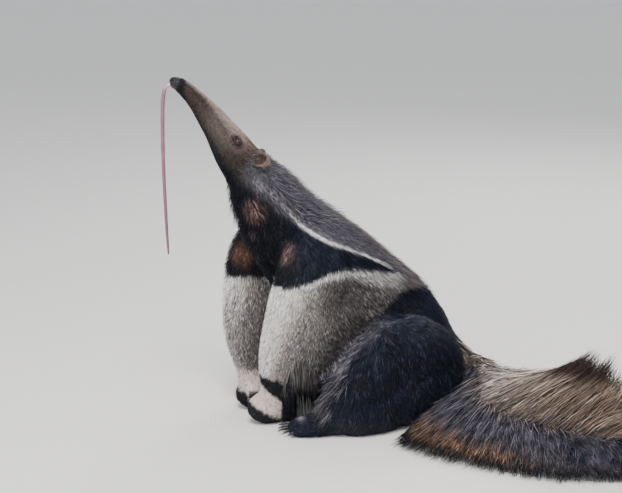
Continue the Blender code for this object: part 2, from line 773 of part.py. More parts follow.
def fore_claws(side, centre, home):
    """Folded inwards, as an anteater walks: the third claw is the largest."""
    sign = 1 if side == "left" else -1
    inner = centre[0] - sign * PAW_SIZE[0] * 0.76
    made = []
    for number, length, forward, height in ((2, 0.046, 0.034, 0.052), (3, 0.064, 0.040, 0.036),
                                            (4, 0.040, 0.034, 0.021)):
        root = (inner, centre[1] - forward, height)
        made.append(
            claw(f"claw_fore_{side}_{number}", root, (-sign * 0.5, 0.85, 0.05),
                 (sign * 0.40, 0.95, 0.12), length, 0.0072, home)
        )
    return made


def hind_claws(side, home):
    """Five short claws on the toes."""
    sign = 1 if side == "left" else -1
    made = []
    tip = Vector(HINDFOOT[-1][:3])
    for number in range(5):
        spread = (number - 2) / 2
        root = (sign * (tip.x + spread * 0.030), tip.y + 0.004 + abs(spread) * 0.014, 0.016)
        made.append(
            claw(f"claw_hind_{side}_{number + 1}", root, (sign * spread * 0.25, -1, 0.15),
                 (sign * spread * 0.25, -0.85, -0.4), 0.034, 0.0062, home, steps=3)
        )
    return made


def plume_outline(share, reach=1.0):
    """The plume's section at a share of the tail: a blade from the floor edge to the standing edge."""
    core = sample(TAIL, share)
    centre, radius = Vector(core[:3]), core[3]
    near = centre.lerp(Vector(sample(NEAR_TIPS, share)), reach)
    far = centre.lerp(Vector(sample(FAR_TIPS, share)), reach)
    high = centre + UP * radius * 1.15
    low = Vector((centre.x, centre.y, 0))
    near_top = near.lerp(high, 0.5) + UP * 0.022
    far_top = far.lerp(high, 0.5) + UP * 0.010
    far_low = far.lerp(low, 0.5)
    near_low = near.lerp(low, 0.5)
    near_low.z = 0
    far_low.z = max(far_low.z - 0.02, 0)
    return [near, near_top, high, far_top, far, far_low, low, near_low]


def sample(rows, share):
    """The row at a share from 0 to 1 of the way along a smoothed list."""
    spans = 6
    fine = smooth_rows(rows, spans)
    place = min(max(share, 0), 1) * (len(fine) - 1)
    k = min(int(place), len(fine) - 2)
    return [p + (q - p) * (place - k) for p, q in zip(fine[k], fine[k + 1])]


def tail_frame(share):
    """The core's centre, its radius and its direction at a share of its length."""
    row = sample(TAIL, share)
    ahead, behind = sample(TAIL, min(share + 0.02, 1)), sample(TAIL, max(share - 0.02, 0))
    return Vector(row[:3]), row[3], (Vector(ahead[:3]) - Vector(behind[:3])).normalized()


def tail_core(home):
    """The solid middle of the plume, from the rump to the last bone."""
    bm = bmesh.new()
    steps = 16
    rings = []
    for k in range(steps + 1):
        reach = CORE_REACH * (1 if k < steps else 0.5)
        rings.append([bm.verts.new(point) for point in plume_outline(k / steps, reach)])
    for first, second in zip(rings, rings[1:]):
        bridge(bm, first, second)
    bm.faces.new(rings[0])
    bm.faces.new(rings[-1])
    bmesh.ops.triangulate(bm, faces=bm.faces)
    return object_from(bm, "tail_core", home)


def bezier(points, share):
    """A point of a cubic curve."""
    a, b, c, d = points
    u = 1 - share
    return a * u**3 + b * 3 * u * u * share + c * 3 * u * share * share + d * share**3


def tail_lock(side, share, lead, reach, width, home, rng):
    """One lock of the plume: draped to the floor in front, or streaming back and curling up."""
    centre, radius, along = tail_frame(share)
    tips = NEAR_TIPS if side == "near" else FAR_TIPS
    tip = Vector(sample(tips, min(share + lead + rng.uniform(-0.02, 0.02), 1)))
    if share + lead > 1:
        tip += (Vector(END_TIP) - tip) * min((share + lead - 1) * 3, 1)
    tip = centre.lerp(tip, reach * rng.uniform(0.93, 1.02))
    span = (tip - centre).length
    if side == "near":
        root = centre.lerp(tip, 0.16) + UP * radius * 0.55
        bend = root.lerp(tip, 0.40) + UP * 0.030 + along * 0.01
        late = root.lerp(tip, 0.78) + UP * 0.016 + along * 0.01
        tip.z = max(tip.z, 0.004)
        facing = (UP + (tip - centre).normalized() * 0.6).normalized()
    elif side == "far":
        root = centre.lerp(tip, 0.16) + UP * radius * 0.35
        bend = root.lerp(tip, 0.40) + along * span * 0.16 - UP * 0.012
        late = root.lerp(tip, 0.78) + along * span * 0.10 - UP * 0.030
        facing = Vector((0.35, -0.75, 0.55))
    else:
        near = Vector(sample(NEAR_TIPS, min(share + lead, 1)))
        tip = tip.lerp(near, 0.18)
        tip.z = max(tip.z, 0.10 * (1.2 - share))
        root = centre + UP * radius * 0.70
        bend = root.lerp(tip, 0.40) + UP * 0.020
        late = root.lerp(tip, 0.78) + UP * 0.006
        facing = UP
    steps = 4
    path = [bezier((root, bend, late, tip), k / steps) for k in range(steps + 1)]
    lowest = FLOOR_CLEAR + rng.uniform(0, 0.005)
    for point in path[:-1]:
        point.z = max(point.z, lowest + LOCK_THICK / 2)
    facings = [Vector(facing)] * (steps + 1)
    wide = width * rng.uniform(0.9, 1.1)
    return lock("tail_lock", path, facings, wide, LOCK_THICK, home, lowest)


def chevron(name, cut, cutters, shift):
    """The plan of all that lies beyond a cut of the tail, as a tall prism."""
    share, near_way, far_way = cut
    centre, _, along = tail_frame(share)
    apex = Vector((centre.x, centre.y, 0)) + Vector((along.x, along.y, 0)).normalized() * shift
    near, far = Vector((*near_way, 0)).normalized(), Vector((*far_way, 0)).normalized()
    far_out = 2.5
    ends = [apex, apex + near * far_out, apex + (near + far) * far_out * 2, apex + far * far_out]
    bm = bmesh.new()
    low = [bm.verts.new(point - UP) for point in ends]
    high = [bm.verts.new(point + UP) for point in ends]
    bridge(bm, low, high)
    bm.faces.new(low)
    bm.faces.new(high)
    made = object_from(bm, name, cutters)
    made.hide_render = True
    return made


def tail(home, cutters, whole):
    """The plume, core and locks fused whole, then divided into three lengths."""
    rng = random.Random(11)
    pieces = [tail_core(home)]
    for side, count, lead, reach, width in TAIL_LAYERS:
        for k in range(count):
            first = 0.16 if side == "near" else 0.03
            share = first + (k + rng.uniform(0.35, 0.65)) / count * (0.99 - first)
            pieces.append(tail_lock(side, share, lead, reach, width, home, rng))
    for k in range(END_LOCKS):
        spread = (k + 0.5) / END_LOCKS * 2 - 1
        pieces.append(end_lock(spread, home, rng))
    plume = fuse("tail", pieces, home)
    clear_of(plume, [whole], cutters, 2 * GAP)
    made = {}
    for name, cut in (("tail_tip", TAIL_CUTS[1]), ("tail_middle", TAIL_CUTS[0])):
        beyond_it = chevron("beyond", cut, cutters, GAP * 0.7)
        wider = chevron("wider", cut, cutters, -GAP * 0.7)
        made[name] = keep_largest(boolean(copy_of(plume, name, home), "INTERSECT", beyond_it))
        boolean(plume, "DIFFERENCE", wider)
        discard(beyond_it, wider)
    plume.name = "tail_base"
    made["tail_base"] = keep_largest(plume)
    return made


def end_lock(spread, home, rng):
    """A lock off the end of the tail, fanned from the near edge to the far one."""
    centre, radius, along = tail_frame(1.0)
    near, far, end = Vector(NEAR_TIPS[-1]), Vector(FAR_TIPS[-1]), Vector(END_TIP)
    edge = near if spread < 0 else far
    tip = end.lerp(edge, abs(spread)) + along * 0.05 * (1 - abs(spread)) * rng.uniform(0.2, 1)
    tip.z = max(tip.z, 0.004)
    root = centre - along * 0.02 + UP * 0.004
    bend = root.lerp(tip, 0.4) + UP * rng.uniform(0.015, 0.04)
    late = root.lerp(tip, 0.8) + UP * 0.008
    steps = 5
    path = [bezier((root, bend, late, tip), k / steps) for k in range(steps + 1)]
    lowest = FLOOR_CLEAR + rng.uniform(0, 0.005)
    for point in path[:-1]:
        point.z = max(point.z, lowest + LOCK_THICK / 2)
    return lock("tail_end", path, [UP] * (steps + 1), 0.050, LOCK_THICK, home, lowest)


def finish_node(thing, slot, materials):
    thing.data.materials.clear()
    thing.data.materials.append(materials[slot])
    thing.data.shade_smooth()
    thing.data.set_sharp_from_angle(angle=math.radians(50))


def main():
    clear_scene()
    home = collection("giant_anteater")
    cutters = collection("cutters")
    materials = {name: material(name, 0.35 if name in ("eye", "tongue", "claw") else 0.85)
                 for name in COLOURS}
    body = flesh(home)
    body = fuse("flesh", [body, *coat_locks(body, home, random.Random(5))], home)
    cut_floor(body, cutters)
    whole = copy_of(body, "whole", cutters)
    whole.hide_render = True
    nodes = part_flesh(body, home, cutters)
    nodes["head"] = head(home, cutters)
    slots = {
        "head": "coat_snout", "neck": "coat_grey", "torso": "coat_grey",
        "foreleg_left": "coat_pale", "foreleg_right": "coat_pale",
        "forepaw_left": "coat_pale", "forepaw_right": "coat_pale",
        "hindleg_left": "coat_dark", "hindleg_right": "coat_dark",
        "hindfoot_left": "coat_dark", "hindfoot_right": "coat_dark",
    }
    for side, sign in (("left", 1), ("right", -1)):
        eye = ellipsoid(f"eye_{side}", eye_place(sign), [EYE_RADIUS] * 3, home, 12)
        nodes[eye.name], slots[eye.name] = eye, "eye"
        lobe = clear_of(ear(sign, home), [nodes["head"], nodes["neck"]], cutters)
        nodes[lobe.name], slots[lobe.name] = lobe, "coat_snout"
        for nail in fore_claws(side, PAW_CENTRES[side], home):
            clear_of(nail, [nodes[f"forepaw_{side}"]], cutters)
            nodes[nail.name], slots[nail.name] = nail, "claw"
        for nail in hind_claws(side, home):
            clear_of(nail, [nodes[f"hindfoot_{side}"]], cutters)
            nodes[nail.name], slots[nail.name] = nail, "claw"
    nodes["tongue"], slots["tongue"] = tongue_tube("tongue", home), "tongue"
    for name, length in tail(home, cutters, whole).items():
        nodes[name], slots[name] = length, "coat_tail"
    for name, thing in nodes.items():
        finish_node(thing, slots[name], materials)


main()
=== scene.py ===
# %% [markdown]
# # A giant anteater that sits with its head up
# The animal rests on its haunches, both fore feet on the ground, its long snout raised and its tongue
# hanging out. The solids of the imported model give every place; this script dresses them.
# Flesh becomes one skin, and the coat is many thousands of small solid tufts that grow out of it.

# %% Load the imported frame
import json
import math

import bmesh
import bpy
import numpy as np
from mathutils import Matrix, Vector
from mathutils.bvhtree import BVHTree

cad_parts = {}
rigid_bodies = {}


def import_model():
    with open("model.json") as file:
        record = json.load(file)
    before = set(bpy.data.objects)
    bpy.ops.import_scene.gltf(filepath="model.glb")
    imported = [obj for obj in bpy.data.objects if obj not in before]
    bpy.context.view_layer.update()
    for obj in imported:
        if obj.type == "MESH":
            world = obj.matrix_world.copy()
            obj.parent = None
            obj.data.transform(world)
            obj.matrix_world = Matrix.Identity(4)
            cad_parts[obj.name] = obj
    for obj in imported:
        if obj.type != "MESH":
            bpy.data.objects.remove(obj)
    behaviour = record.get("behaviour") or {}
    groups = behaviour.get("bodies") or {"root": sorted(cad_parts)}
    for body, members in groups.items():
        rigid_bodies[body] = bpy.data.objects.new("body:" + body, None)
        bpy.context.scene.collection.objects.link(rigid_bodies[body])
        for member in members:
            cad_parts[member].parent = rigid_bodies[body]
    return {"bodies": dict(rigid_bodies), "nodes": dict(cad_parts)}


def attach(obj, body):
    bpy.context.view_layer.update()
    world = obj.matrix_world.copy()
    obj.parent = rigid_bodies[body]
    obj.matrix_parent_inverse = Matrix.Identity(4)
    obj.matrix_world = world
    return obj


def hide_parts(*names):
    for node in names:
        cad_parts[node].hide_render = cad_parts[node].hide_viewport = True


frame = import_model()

kept = set(frame["nodes"].values()) | set(frame["bodies"].values())
for leftover in [thing for thing in bpy.data.objects if thing not in kept]:
    bpy.data.objects.remove(leftover)
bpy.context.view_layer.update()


def add_object(name, data):
    """A new object in the scene."""
    made = bpy.data.objects.new(name, data)
    bpy.context.scene.collection.objects.link(made)
    return made


# %% [markdown]
# ## The camera
# The photograph was taken from the animal's left, a little ahead of its shoulder and from about head
# height, with a long lens. A camera can be aimed by a constraint, but a place and a direction worked
# out once from the object's own points keep the frame fixed, so the numbers are written down.

# %% Place the camera
CAMERA_PLACE = (3.431, -1.556, 1.437)
CAMERA_AZIMUTH = 70
CAMERA_ELEVATION = 15
CAMERA_LENS = 81.03
CAMERA_SENSOR = 36

turn, rise = math.radians(CAMERA_AZIMUTH), math.radians(CAMERA_ELEVATION)
backwards = Vector((math.sin(turn) * math.cos(rise), -math.cos(turn) * math.cos(rise), math.sin(rise)))
camera = add_object("camera", bpy.data.cameras.new("camera"))
camera.location = CAMERA_PLACE
camera.rotation_euler = (-backwards).to_track_quat("-Z", "Y").to_euler()
camera.data.lens = CAMERA_LENS
camera.data.sensor_width = CAMERA_SENSOR
bpy.context.scene.camera = camera
print("camera at", CAMERA_PLACE)

# %% [markdown]
# ## Small tools for rows of numbers
# A body is easiest to describe by a few cross sections. A curve through them fills in the rest, and
# array arithmetic does the same thing to thousands of points at once.

# %% Curves through stations
def unit(ways):
    """Ways of length one."""
    size = np.linalg.norm(ways, axis=-1, keepdims=True)
    return ways / np.maximum(size, 1e-9)


def dot(first, second):
    return np.sum(first * second, axis=-1, keepdims=True)


def smooth_rows(rows, spans):
    """A smooth curve through rows of numbers, with that many steps between neighbours."""
    rows = np.array(rows, float)
    padded = np.vstack([rows[:1], rows, rows[-1:]])
    t = np.linspace(0, 1, spans, endpoint=False)[:, None]
    found = []
    for a, b, c, d in zip(padded, padded[1:], padded[2:], padded[3:]):
        curve = 2 * b + (c - a) * t + (2 * a - 5 * b + 4 * c - d) * t**2
        found.append(0.5 * (curve + (3 * b - a - 3 * c + d) * t**3))
    return np.vstack([*found, rows[-1:]])


def sample(rows, share):
    """The rows at shares from 0 to 1 of the way along."""
    fine = smooth_rows(rows, 8)
    place = np.clip(share, 0, 1) * (len(fine) - 1)
    low = np.minimum(place.astype(int), len(fine) - 2)
    part = (place - low)[..., None]
    return fine[low] * (1 - part) + fine[low + 1] * part


def eased(value, start, end):
    """0 before start, 1 after end, and a soft step between them."""
    t = np.clip((value - start) / (end - start), 0, 1)
    return t * t * (3 - 2 * t)


def faded(value, start, end):
    """1 before start, 0 after end."""
    return 1 - eased(value, start, end)


def between(value, start, full, fade, end):
    """0 outside start and end, 1 between full and fade."""
    return eased(value, start, full) * (1 - eased(value, fade, end))


def hill(value, middle, width):
    """A soft bump, 1 at its middle."""
    return np.exp(-((value - middle) / width) ** 2)


# %% [markdown]
# ## The body's stations
# These are the same named sections as in the solids: where each one is, half its width and depth, and
# how far it is turned. Repeating them keeps the skin and the solids the same shape.

# %% Write down trunk, head and limbs
TRUNK = (  # (x, y, z, half width, half depth, turn in degrees), as are head and legs
    (0.045, 0.138, 0.072, 0.058, 0.052, 0),  # tail root
    (0.022, 0.062, 0.105, 0.128, 0.097, 0),  # rump
    (0.000, -0.010, 0.160, 0.156, 0.134, 0),  # pelvis
    (0.000, -0.099, 0.241, 0.160, 0.148, 4),  # loin
    (0.000, -0.195, 0.330, 0.155, 0.145, 9),  # ribs
    (0.000, -0.290, 0.415, 0.140, 0.142, 15),  # chest
    (0.000, -0.362, 0.490, 0.115, 0.122, 18),  # withers
    (0.000, -0.412, 0.560, 0.088, 0.102, 10),  # neck root
    (0.002, -0.450, 0.622, 0.074, 0.087, -6),  # neck
)
HEAD = (
    (-0.001, -0.482, 0.676, 0.062, 0.067, -16),  # behind the ears
    (-0.009, -0.505, 0.711, 0.056, 0.0590, -18.6),  # cheek
    (-0.017, -0.527, 0.748, 0.047, 0.0525, -18.6),  # eyes
    (-0.025, -0.551, 0.789, 0.037, 0.0430, -18.6),  # bridge
    (-0.034, -0.578, 0.829, 0.031, 0.0355, -18.6),  # middle of the snout
    (-0.044, -0.607, 0.868, 0.0255, 0.0270, -18.6),  # fore part of the snout
    (-0.055, -0.639, 0.901, 0.0205, 0.0220, -18.6),  # behind the nose
    (-0.0605, -0.656, 0.911, 0.0185, 0.0195, -18.6),  # nose
    (-0.0648, -0.669, 0.9155, 0.0140, 0.0150, -18.6),  # lips
    (-0.0666, -0.6745, 0.9168, 0.0085, 0.0095, -18.6),  # tip
)
FORELEG_LEFT = (
    (0.052, -0.345, 0.530, 0.030, 0.050, 18),
    (0.094, -0.340, 0.482, 0.064, 0.086, 18),
    (0.118, -0.345, 0.425, 0.080, 0.105, 15),
    (0.120, -0.362, 0.350, 0.076, 0.112, 12),
    (0.112, -0.392, 0.275, 0.068, 0.096, 8),
    (0.102, -0.422, 0.205, 0.059, 0.073, 5),
    (0.092, -0.437, 0.145, 0.048, 0.055, 3),
    (0.084, -0.440, 0.100, 0.040, 0.043, 3),
    (0.078, -0.442, 0.060, 0.040, 0.046, 3),
)
FORELEG_RIGHT = (
    (-0.050, -0.375, 0.530, 0.030, 0.050, 18),
    (-0.092, -0.398, 0.475, 0.062, 0.080, 18),
    (-0.112, -0.422, 0.420, 0.070, 0.088, 15),
    (-0.112, -0.436, 0.350, 0.066, 0.088, 12),
    (-0.108, -0.450, 0.280, 0.060, 0.078, 8),
    (-0.098, -0.462, 0.210, 0.053, 0.066, 5),
    (-0.082, -0.466, 0.145, 0.044, 0.050, 3),
    (-0.070, -0.462, 0.100, 0.037, 0.040, 3),
    (-0.056, -0.455, 0.060, 0.038, 0.042, 3),
)
HINDLEG = (
    (0.085, 0.012, 0.125, 0.098, 0.100, 0),
    (0.150, -0.048, 0.155, 0.112, 0.114, 0),
    (0.195, -0.105, 0.195, 0.098, 0.108, 0),
    (0.215, -0.168, 0.205, 0.078, 0.092, 0),
    (0.222, -0.228, 0.158, 0.068, 0.084, 0),
    (0.216, -0.285, 0.102, 0.056, 0.066, 0),
    (0.206, -0.330, 0.055, 0.043, 0.046, 0),
)
HINDFOOT = (
    (0.216, -0.275, 0.036, 0.036, 0.036, 0),
    (0.208, -0.325, 0.036, 0.040, 0.037, 0),
    (0.194, -0.375, 0.028, 0.044, 0.030, 0),
    (0.180, -0.415, 0.021, 0.041, 0.022, 0),
    (0.172, -0.436, 0.016, 0.030, 0.015, 0),
)
# Rounded masses: (middle, half sizes)
SEAT = ((0.0, 0.000, 0.090), (0.158, 0.136, 0.096))
BELLY = ((0.0, -0.150, 0.175), (0.165, 0.170, 0.150))
BRISKET = ((0.0, -0.335, 0.330), (0.105, 0.090, 0.110))
HAUNCH = ((0.162, -0.096, 0.110), (0.128, 0.170, 0.128))
SHANK = ((0.212, -0.225, 0.062), (0.070, 0.130, 0.078))
FLANK = ((0.124, -0.262, 0.225), (0.066, 0.132, 0.165))
PAW_SIZE = (0.043, 0.066, 0.048)
PAW_LEFT = (0.070, -0.452, 0.044)
PAW_RIGHT = (-0.046, -0.448, 0.044)
print("stations:", len(TRUNK) + len(HEAD) + len(FORELEG_LEFT) * 2 + len(HINDLEG) + len(HINDFOOT))

# %% Write down the tail
TAIL = (  # (x, y, z, radius) of the middle
    (0.045, 0.142, 0.074, 0.050),
    (0.130, 0.152, 0.080, 0.052),
    (0.225, 0.125, 0.080, 0.048),
    (0.320, 0.095, 0.080, 0.044),
    (0.415, 0.085, 0.078, 0.040),
    (0.510, 0.110, 0.075, 0.036),
    (0.605, 0.175, 0.070, 0.031),
    (0.685, 0.260, 0.065, 0.025),
    (0.735, 0.360, 0.060, 0.016),
)
NEAR_TIPS = (  # where the hair ends on the near side, from the root to the end of the tail
    (0.105, 0.040, 0.003),
    (0.225, -0.050, 0.003),
    (0.312, -0.140, 0.003),
    (0.348, -0.203, 0.003),
    (0.464, -0.152, 0.003),
    (0.598, -0.034, 0.003),
    (0.694, 0.086, 0.003),
    (0.752, 0.235, 0.003),
    (0.808, 0.372, 0.003),
)
FAR_TIPS = (  # and where it ends on the far side
    (0.130, 0.225, 0.056),
    (0.213, 0.262, 0.081),
    (0.320, 0.275, 0.112),
    (0.420, 0.268, 0.185),
    (0.470, 0.280, 0.240),
    (0.548, 0.280, 0.256),
    (0.632, 0.290, 0.232),
    (0.722, 0.340, 0.190),
    (0.790, 0.450, 0.110),
)
END_TIP = (0.815, 0.610, 0.020)
CORE_REACH = 0.34  # how far the tail's dark core goes towards the tips of its hair


def mirrored(stations):
    """The same stations on the animal's right."""
    return [(-row[0], *row[1:5], -row[5]) for row in stations]


def mirrored_ball(ball):
    (x, y, z), size = ball
    return (-x, y, z), size


# %% [markdown]
# ## Melt the parts into one skin
# Real skin runs over shoulder and flank without a seam. Tubes and balls that overlap are simple to
# place, and a voxel remesh melts them into one closed surface, which a few rounds of smoothing soften.
# A sculptor would do the same with clay.

# %% Rings, tubes and balls
def limb_frame(stations, spans=6):
    """Centre, ways along, across and deep, and both half sizes, at each step of a limb."""
    rows = smooth_rows(stations, spans)
    centre = rows[:, :3]
    along = unit(np.gradient(centre, axis=0))
    yaw = np.radians(rows[:, 5])
    across = np.stack([np.cos(yaw), np.sin(yaw), 0 * yaw], 1)
    across = unit(across - along * dot(across, along))
    return centre, along, across, np.cross(along, across), rows[:, 3], rows[:, 4]


def add_rings(bm, rings):
    """Closed tube through rings of points."""
    made = [[bm.verts.new(point) for point in ring] for ring in rings]
    for first, second in zip(made, made[1:]):
        for k in range(len(first)):
            n = (k + 1) % len(first)
            bm.faces.new((first[k], first[n], second[n], second[k]))
    bm.faces.new(made[0])
    bm.faces.new(made[-1])


def add_limb(bm, stations, sides=28, spans=4):
    centre, _, across, deep, wide, tall = limb_frame(stations, spans)
    angle = np.linspace(0, 2 * math.pi, sides, endpoint=False)
    rings = centre[:, None] + across[:, None] * (wide[:, None] * np.cos(angle))[..., None]
    add_rings(bm, rings + deep[:, None] * (tall[:, None] * np.sin(angle))[..., None])


def add_ball(bm, ball, segments=28):
    centre, size = ball
    made = bmesh.ops.create_uvsphere(bm, u_segments=segments, v_segments=segments // 2, radius=1)
    bmesh.ops.scale(bm, vec=size, verts=made["verts"])
    bmesh.ops.translate(bm, vec=centre, verts=made["verts"])


def plume_rings(steps=20):
    """Sections of the tail's core, from its edge on the floor to its standing edge."""
    rings = []
    for share in np.linspace(0, 1, steps):
        *centre, radius = sample(TAIL, share)
        centre = np.array(centre)
        near = centre + (sample(NEAR_TIPS, share) - centre) * CORE_REACH
        far = centre + (sample(FAR_TIPS, share) - centre) * CORE_REACH
        high = centre + (0, 0, radius)
        low = np.array((centre[0], centre[1], 0.0))
        ring = [near, (near + high) / 2 + (0, 0, 0.012), high, (far + high) / 2 + (0, 0, 0.006)]
        ring += [far, (far + low) / 2 - (0, 0, 0.01), low, (near + low) / 2]
        rings.append([np.maximum(point, (-9, -9, 0)) for point in ring])
    return rings


# %% Add every part to one mesh
blank = bmesh.new()
add_limb(blank, (*TRUNK, *HEAD[:2]))
add_limb(blank, (TRUNK[-1], *HEAD))
for leg in (FORELEG_LEFT, FORELEG_RIGHT, HINDLEG, mirrored(HINDLEG), HINDFOOT, mirrored(HINDFOOT)):
    add_limb(blank, leg)
for mass in (SEAT, BELLY, BRISKET, (PAW_LEFT, PAW_SIZE), (PAW_RIGHT, PAW_SIZE)):
    add_ball(blank, mass)
for mass in (HAUNCH, SHANK, FLANK):
    add_ball(blank, mass)
    add_ball(blank, mirrored_ball(mass))
add_rings(blank, plume_rings())
bmesh.ops.recalc_face_normals(blank, faces=blank.faces)
print("rough parts:", len(blank.verts), "points")

# %% Melt them and read the result as arrays
SKIN_VOXEL = 0.0064


def read(items, field, width, kind=float):
    """One field of many items of a mesh, in rows of that width."""
    found = np.empty(len(items) * width, kind)
    items.foreach_get(field, found)
    return found.reshape(-1, width)


def read_points(mesh):
    return read(mesh.vertices, "co", 3)


def write_points(mesh, points):
    mesh.vertices.foreach_set("co", np.ascontiguousarray(points, float).ravel())
    mesh.update()


def read_normals(mesh):
    return read(mesh.vertex_normals, "vector", 3)


def read_edges(mesh):
    return read(mesh.edges, "vertices", 2, int)


def applied(thing):
    """The mesh that the object's modifiers make."""
    graph = bpy.context.evaluated_depsgraph_get()
    mesh = bpy.data.meshes.new_from_object(thing.evaluated_get(graph))
    thing.modifiers.clear()
    thing.data = mesh
    return mesh


rough = bpy.data.meshes.new("skin")
blank.to_mesh(rough)
blank.free()
skin = add_object("skin", rough)
melt = skin.modifiers.new("melt", "REMESH")
melt.mode = "VOXEL"
melt.voxel_size = SKIN_VOXEL
applied(skin)
print("melted skin:", len(skin.data.vertices), "points")

# %% [markdown]
# ## Which part does a point belong to?
# Coat depth, the lie of the hair and the markings all depend on the part of the body. A point on the
# skin of a limb is one limb radius away from its axis, so the part whose axis is nearest, measured in
# its own radii, owns the point.

# %% Measure every point against every part
PARTS = ("trunk", "head", "fore_left", "fore_right", "hind_left", "hind_right", "tail")
TAIL_WAY = (0.85, 0.2, -0.4)  # the way that short hair runs on the tail
PART_CONTRAST = 7  # how sharply one part takes over from the next
BALL_MARGIN = 0.02
TAIL_STEPS = 40
TAIL_WIDE = 2.2
FAR_OFF = 9


def limb_ratio(points, stations):
    """How many radii each point is from a limb's axis, and the axis's way there."""
    centre, along, across, deep, wide, tall = limb_frame(stations)
    radius = (wide + tall) / 2
    best = np.full(len(points), 1e9)
    index = np.zeros(len(points), int)
    for k in range(len(centre)):
        far = np.sum((points - centre[k]) ** 2, axis=1) / radius[k] ** 2
        closer = far < best
        best[closer] = far[closer]
        index[closer] = k
    off = points - centre[index]
    a = np.sum(off * across[index], axis=1) / wide[index]
    b = np.sum(off * deep[index], axis=1) / tall[index]
    c = np.sum(off * along[index], axis=1) / radius[index]
    return np.sqrt(a * a + b * b + c * c), along[index], b, index / (len(centre) - 1)


def ball_ratio(points, ball):
    centre, size = ball
    return np.linalg.norm((points - np.array(centre)) / np.array(size), axis=1)


def tail_ratio(points):
    """The tail's core is a flat blade, so its own radii are widened before they measure."""
    rows = sample(TAIL, np.linspace(0, 1, TAIL_STEPS))
    far = np.linalg.norm(points[:, None] - rows[None, :, :3], axis=2) / (rows[:, 3] * TAIL_WIDE)
    return far.min(axis=1)


def measure(points):
    """Everything about where points lie on the body, as one dictionary of arrays."""
    trunk, trunk_way, trunk_up, trunk_share = limb_ratio(points, (*TRUNK, *HEAD[:1]))
    head, head_way, head_up, head_share = limb_ratio(points, HEAD)
    found = {"trunk_share": trunk_share, "head_share": head_share, "trunk_up": trunk_up, "head_up": head_up}
    balls = ((BELLY, BALL_MARGIN), (BRISKET, BALL_MARGIN), (FLANK, 0), (mirrored_ball(FLANK), 0))
    for ball, margin in balls:
        trunk = np.minimum(trunk, ball_ratio(points, ball) + margin)
    ways = [-trunk_way, -head_way]
    ratios = [trunk, head]
    for leg, paw in ((FORELEG_LEFT, PAW_LEFT), (FORELEG_RIGHT, PAW_RIGHT)):
        ratio, way, _, _ = limb_ratio(points, leg)
        ratios.append(np.minimum(ratio, ball_ratio(points, (paw, PAW_SIZE))))
        ways.append(way)
    hind_left = (HINDLEG, HINDFOOT, HAUNCH, SHANK)
    hind_right = (mirrored(HINDLEG), mirrored(HINDFOOT), mirrored_ball(HAUNCH), mirrored_ball(SHANK))
    for leg, foot, *balls in (hind_left, hind_right):
        ratio, way, _, _ = limb_ratio(points, leg)
        foot_ratio, foot_way, _, _ = limb_ratio(points, foot)
        ways.append(np.where((foot_ratio < ratio)[:, None], foot_way, way))
        ratios.append(np.min([ratio, foot_ratio, *(ball_ratio(points, ball) for ball in balls)], axis=0))
    seat = ball_ratio(points, SEAT)
    for k, own_side in ((4, points[:, 0] > 0), (5, points[:, 0] <= 0)):
        ratios[k] = np.minimum(ratios[k], np.where(own_side, seat, FAR_OFF))
    ratios.append(tail_ratio(points))
    ways.append(np.tile(TAIL_WAY, (len(points), 1)))
    ratios = np.stack(ratios, 1)
    weight = np.exp(-PART_CONTRAST * (ratios - ratios.min(1, keepdims=True)))
    weight /= weight.sum(1, keepdims=True)
    found["weight"] = weight
    found["way"] = unit(sum(weight[:, k:k + 1] * ways[k] for k in range(len(PARTS))))
    return found


# %% [markdown]
# ## Sink the skin under the coat
# The solids show where the coat ends. The skin lies deeper, by the length that the hair stands off it:
# a few millimetres on the snout and over a centimetre on the haunch.

# %% Smooth and sink
COAT_DEPTH = {"trunk": 0.010, "head": 0.0022, "fore_left": 0.0065, "fore_right": 0.0065,
              "hind_left": 0.011, "hind_right": 0.011, "tail": 0.004}
CAP = 0.004  # what lies this low rests on the floor
SKIN_GAP = 0.0006  # between the floor and the skin
SMOOTHING = 12  # rounds
PAW_SINK = 0.35  # the share of the coat's depth at the floor


def relax(points, edges, amount, rounds):
    """Moves each point towards the middle of its neighbours."""
    first, second = edges.T
    size = len(points)
    count = np.bincount(first, minlength=size) + np.bincount(second, minlength=size)
    for _ in range(rounds):
        middle = np.zeros_like(points)
        for axis in range(3):
            middle[:, axis] += np.bincount(first, points[second, axis], size)
            middle[:, axis] += np.bincount(second, points[first, axis], size)
        middle /= count[:, None]
        points = points + (middle - points) * amount
    return points


points = read_points(skin.data)
edges = read_edges(skin.data)
on_head = eased(points[:, 2], 0.64, 0.70)[:, None]
points = relax(points, edges, 0.5 * (1 - on_head * 0.75), SMOOTHING)
grounded = points[:, 2] < CAP
write_points(skin.data, points)
places = measure(points)
depth = sum(places["weight"][:, k] * COAT_DEPTH[part] for k, part in enumerate(PARTS))
paw_height = eased(points[:, 2], 0.03, 0.12)
points = points - read_normals(skin.data) * (depth * (PAW_SINK + (1 - PAW_SINK) * paw_height))[:, None]
points[:, 2] = np.maximum(points[:, 2], SKIN_GAP)
points[grounded, 2] = SKIN_GAP
write_points(skin.data, points)
print("coat depth:", round(float(depth.min()) * 1000, 1), "to", round(float(depth.max()) * 1000, 1), "mm")

# %% [markdown]
# ## Sculpt the head
# The head is where people look first. Its faces are divided until they are about a millimetre across,
# and then the lids, the nostrils and the line of the mouth are pressed and raised by small formulas, as
# a thumb or a wire tool would do in clay.

# %% Divide the head's faces
HEAD_LEFT = np.array((0.947, -0.32, 0.0))
EYE_RADIUS = 0.0085
EYE_RISE = 0.026
NECK_END = (-0.001, -0.482, 0.682)
NECK_WAY = (-0.12, -0.52, 0.84)
EYE_DETAIL = 0.022  # how far round an eye the faces are divided once more
NOSE_DETAIL = 0.030


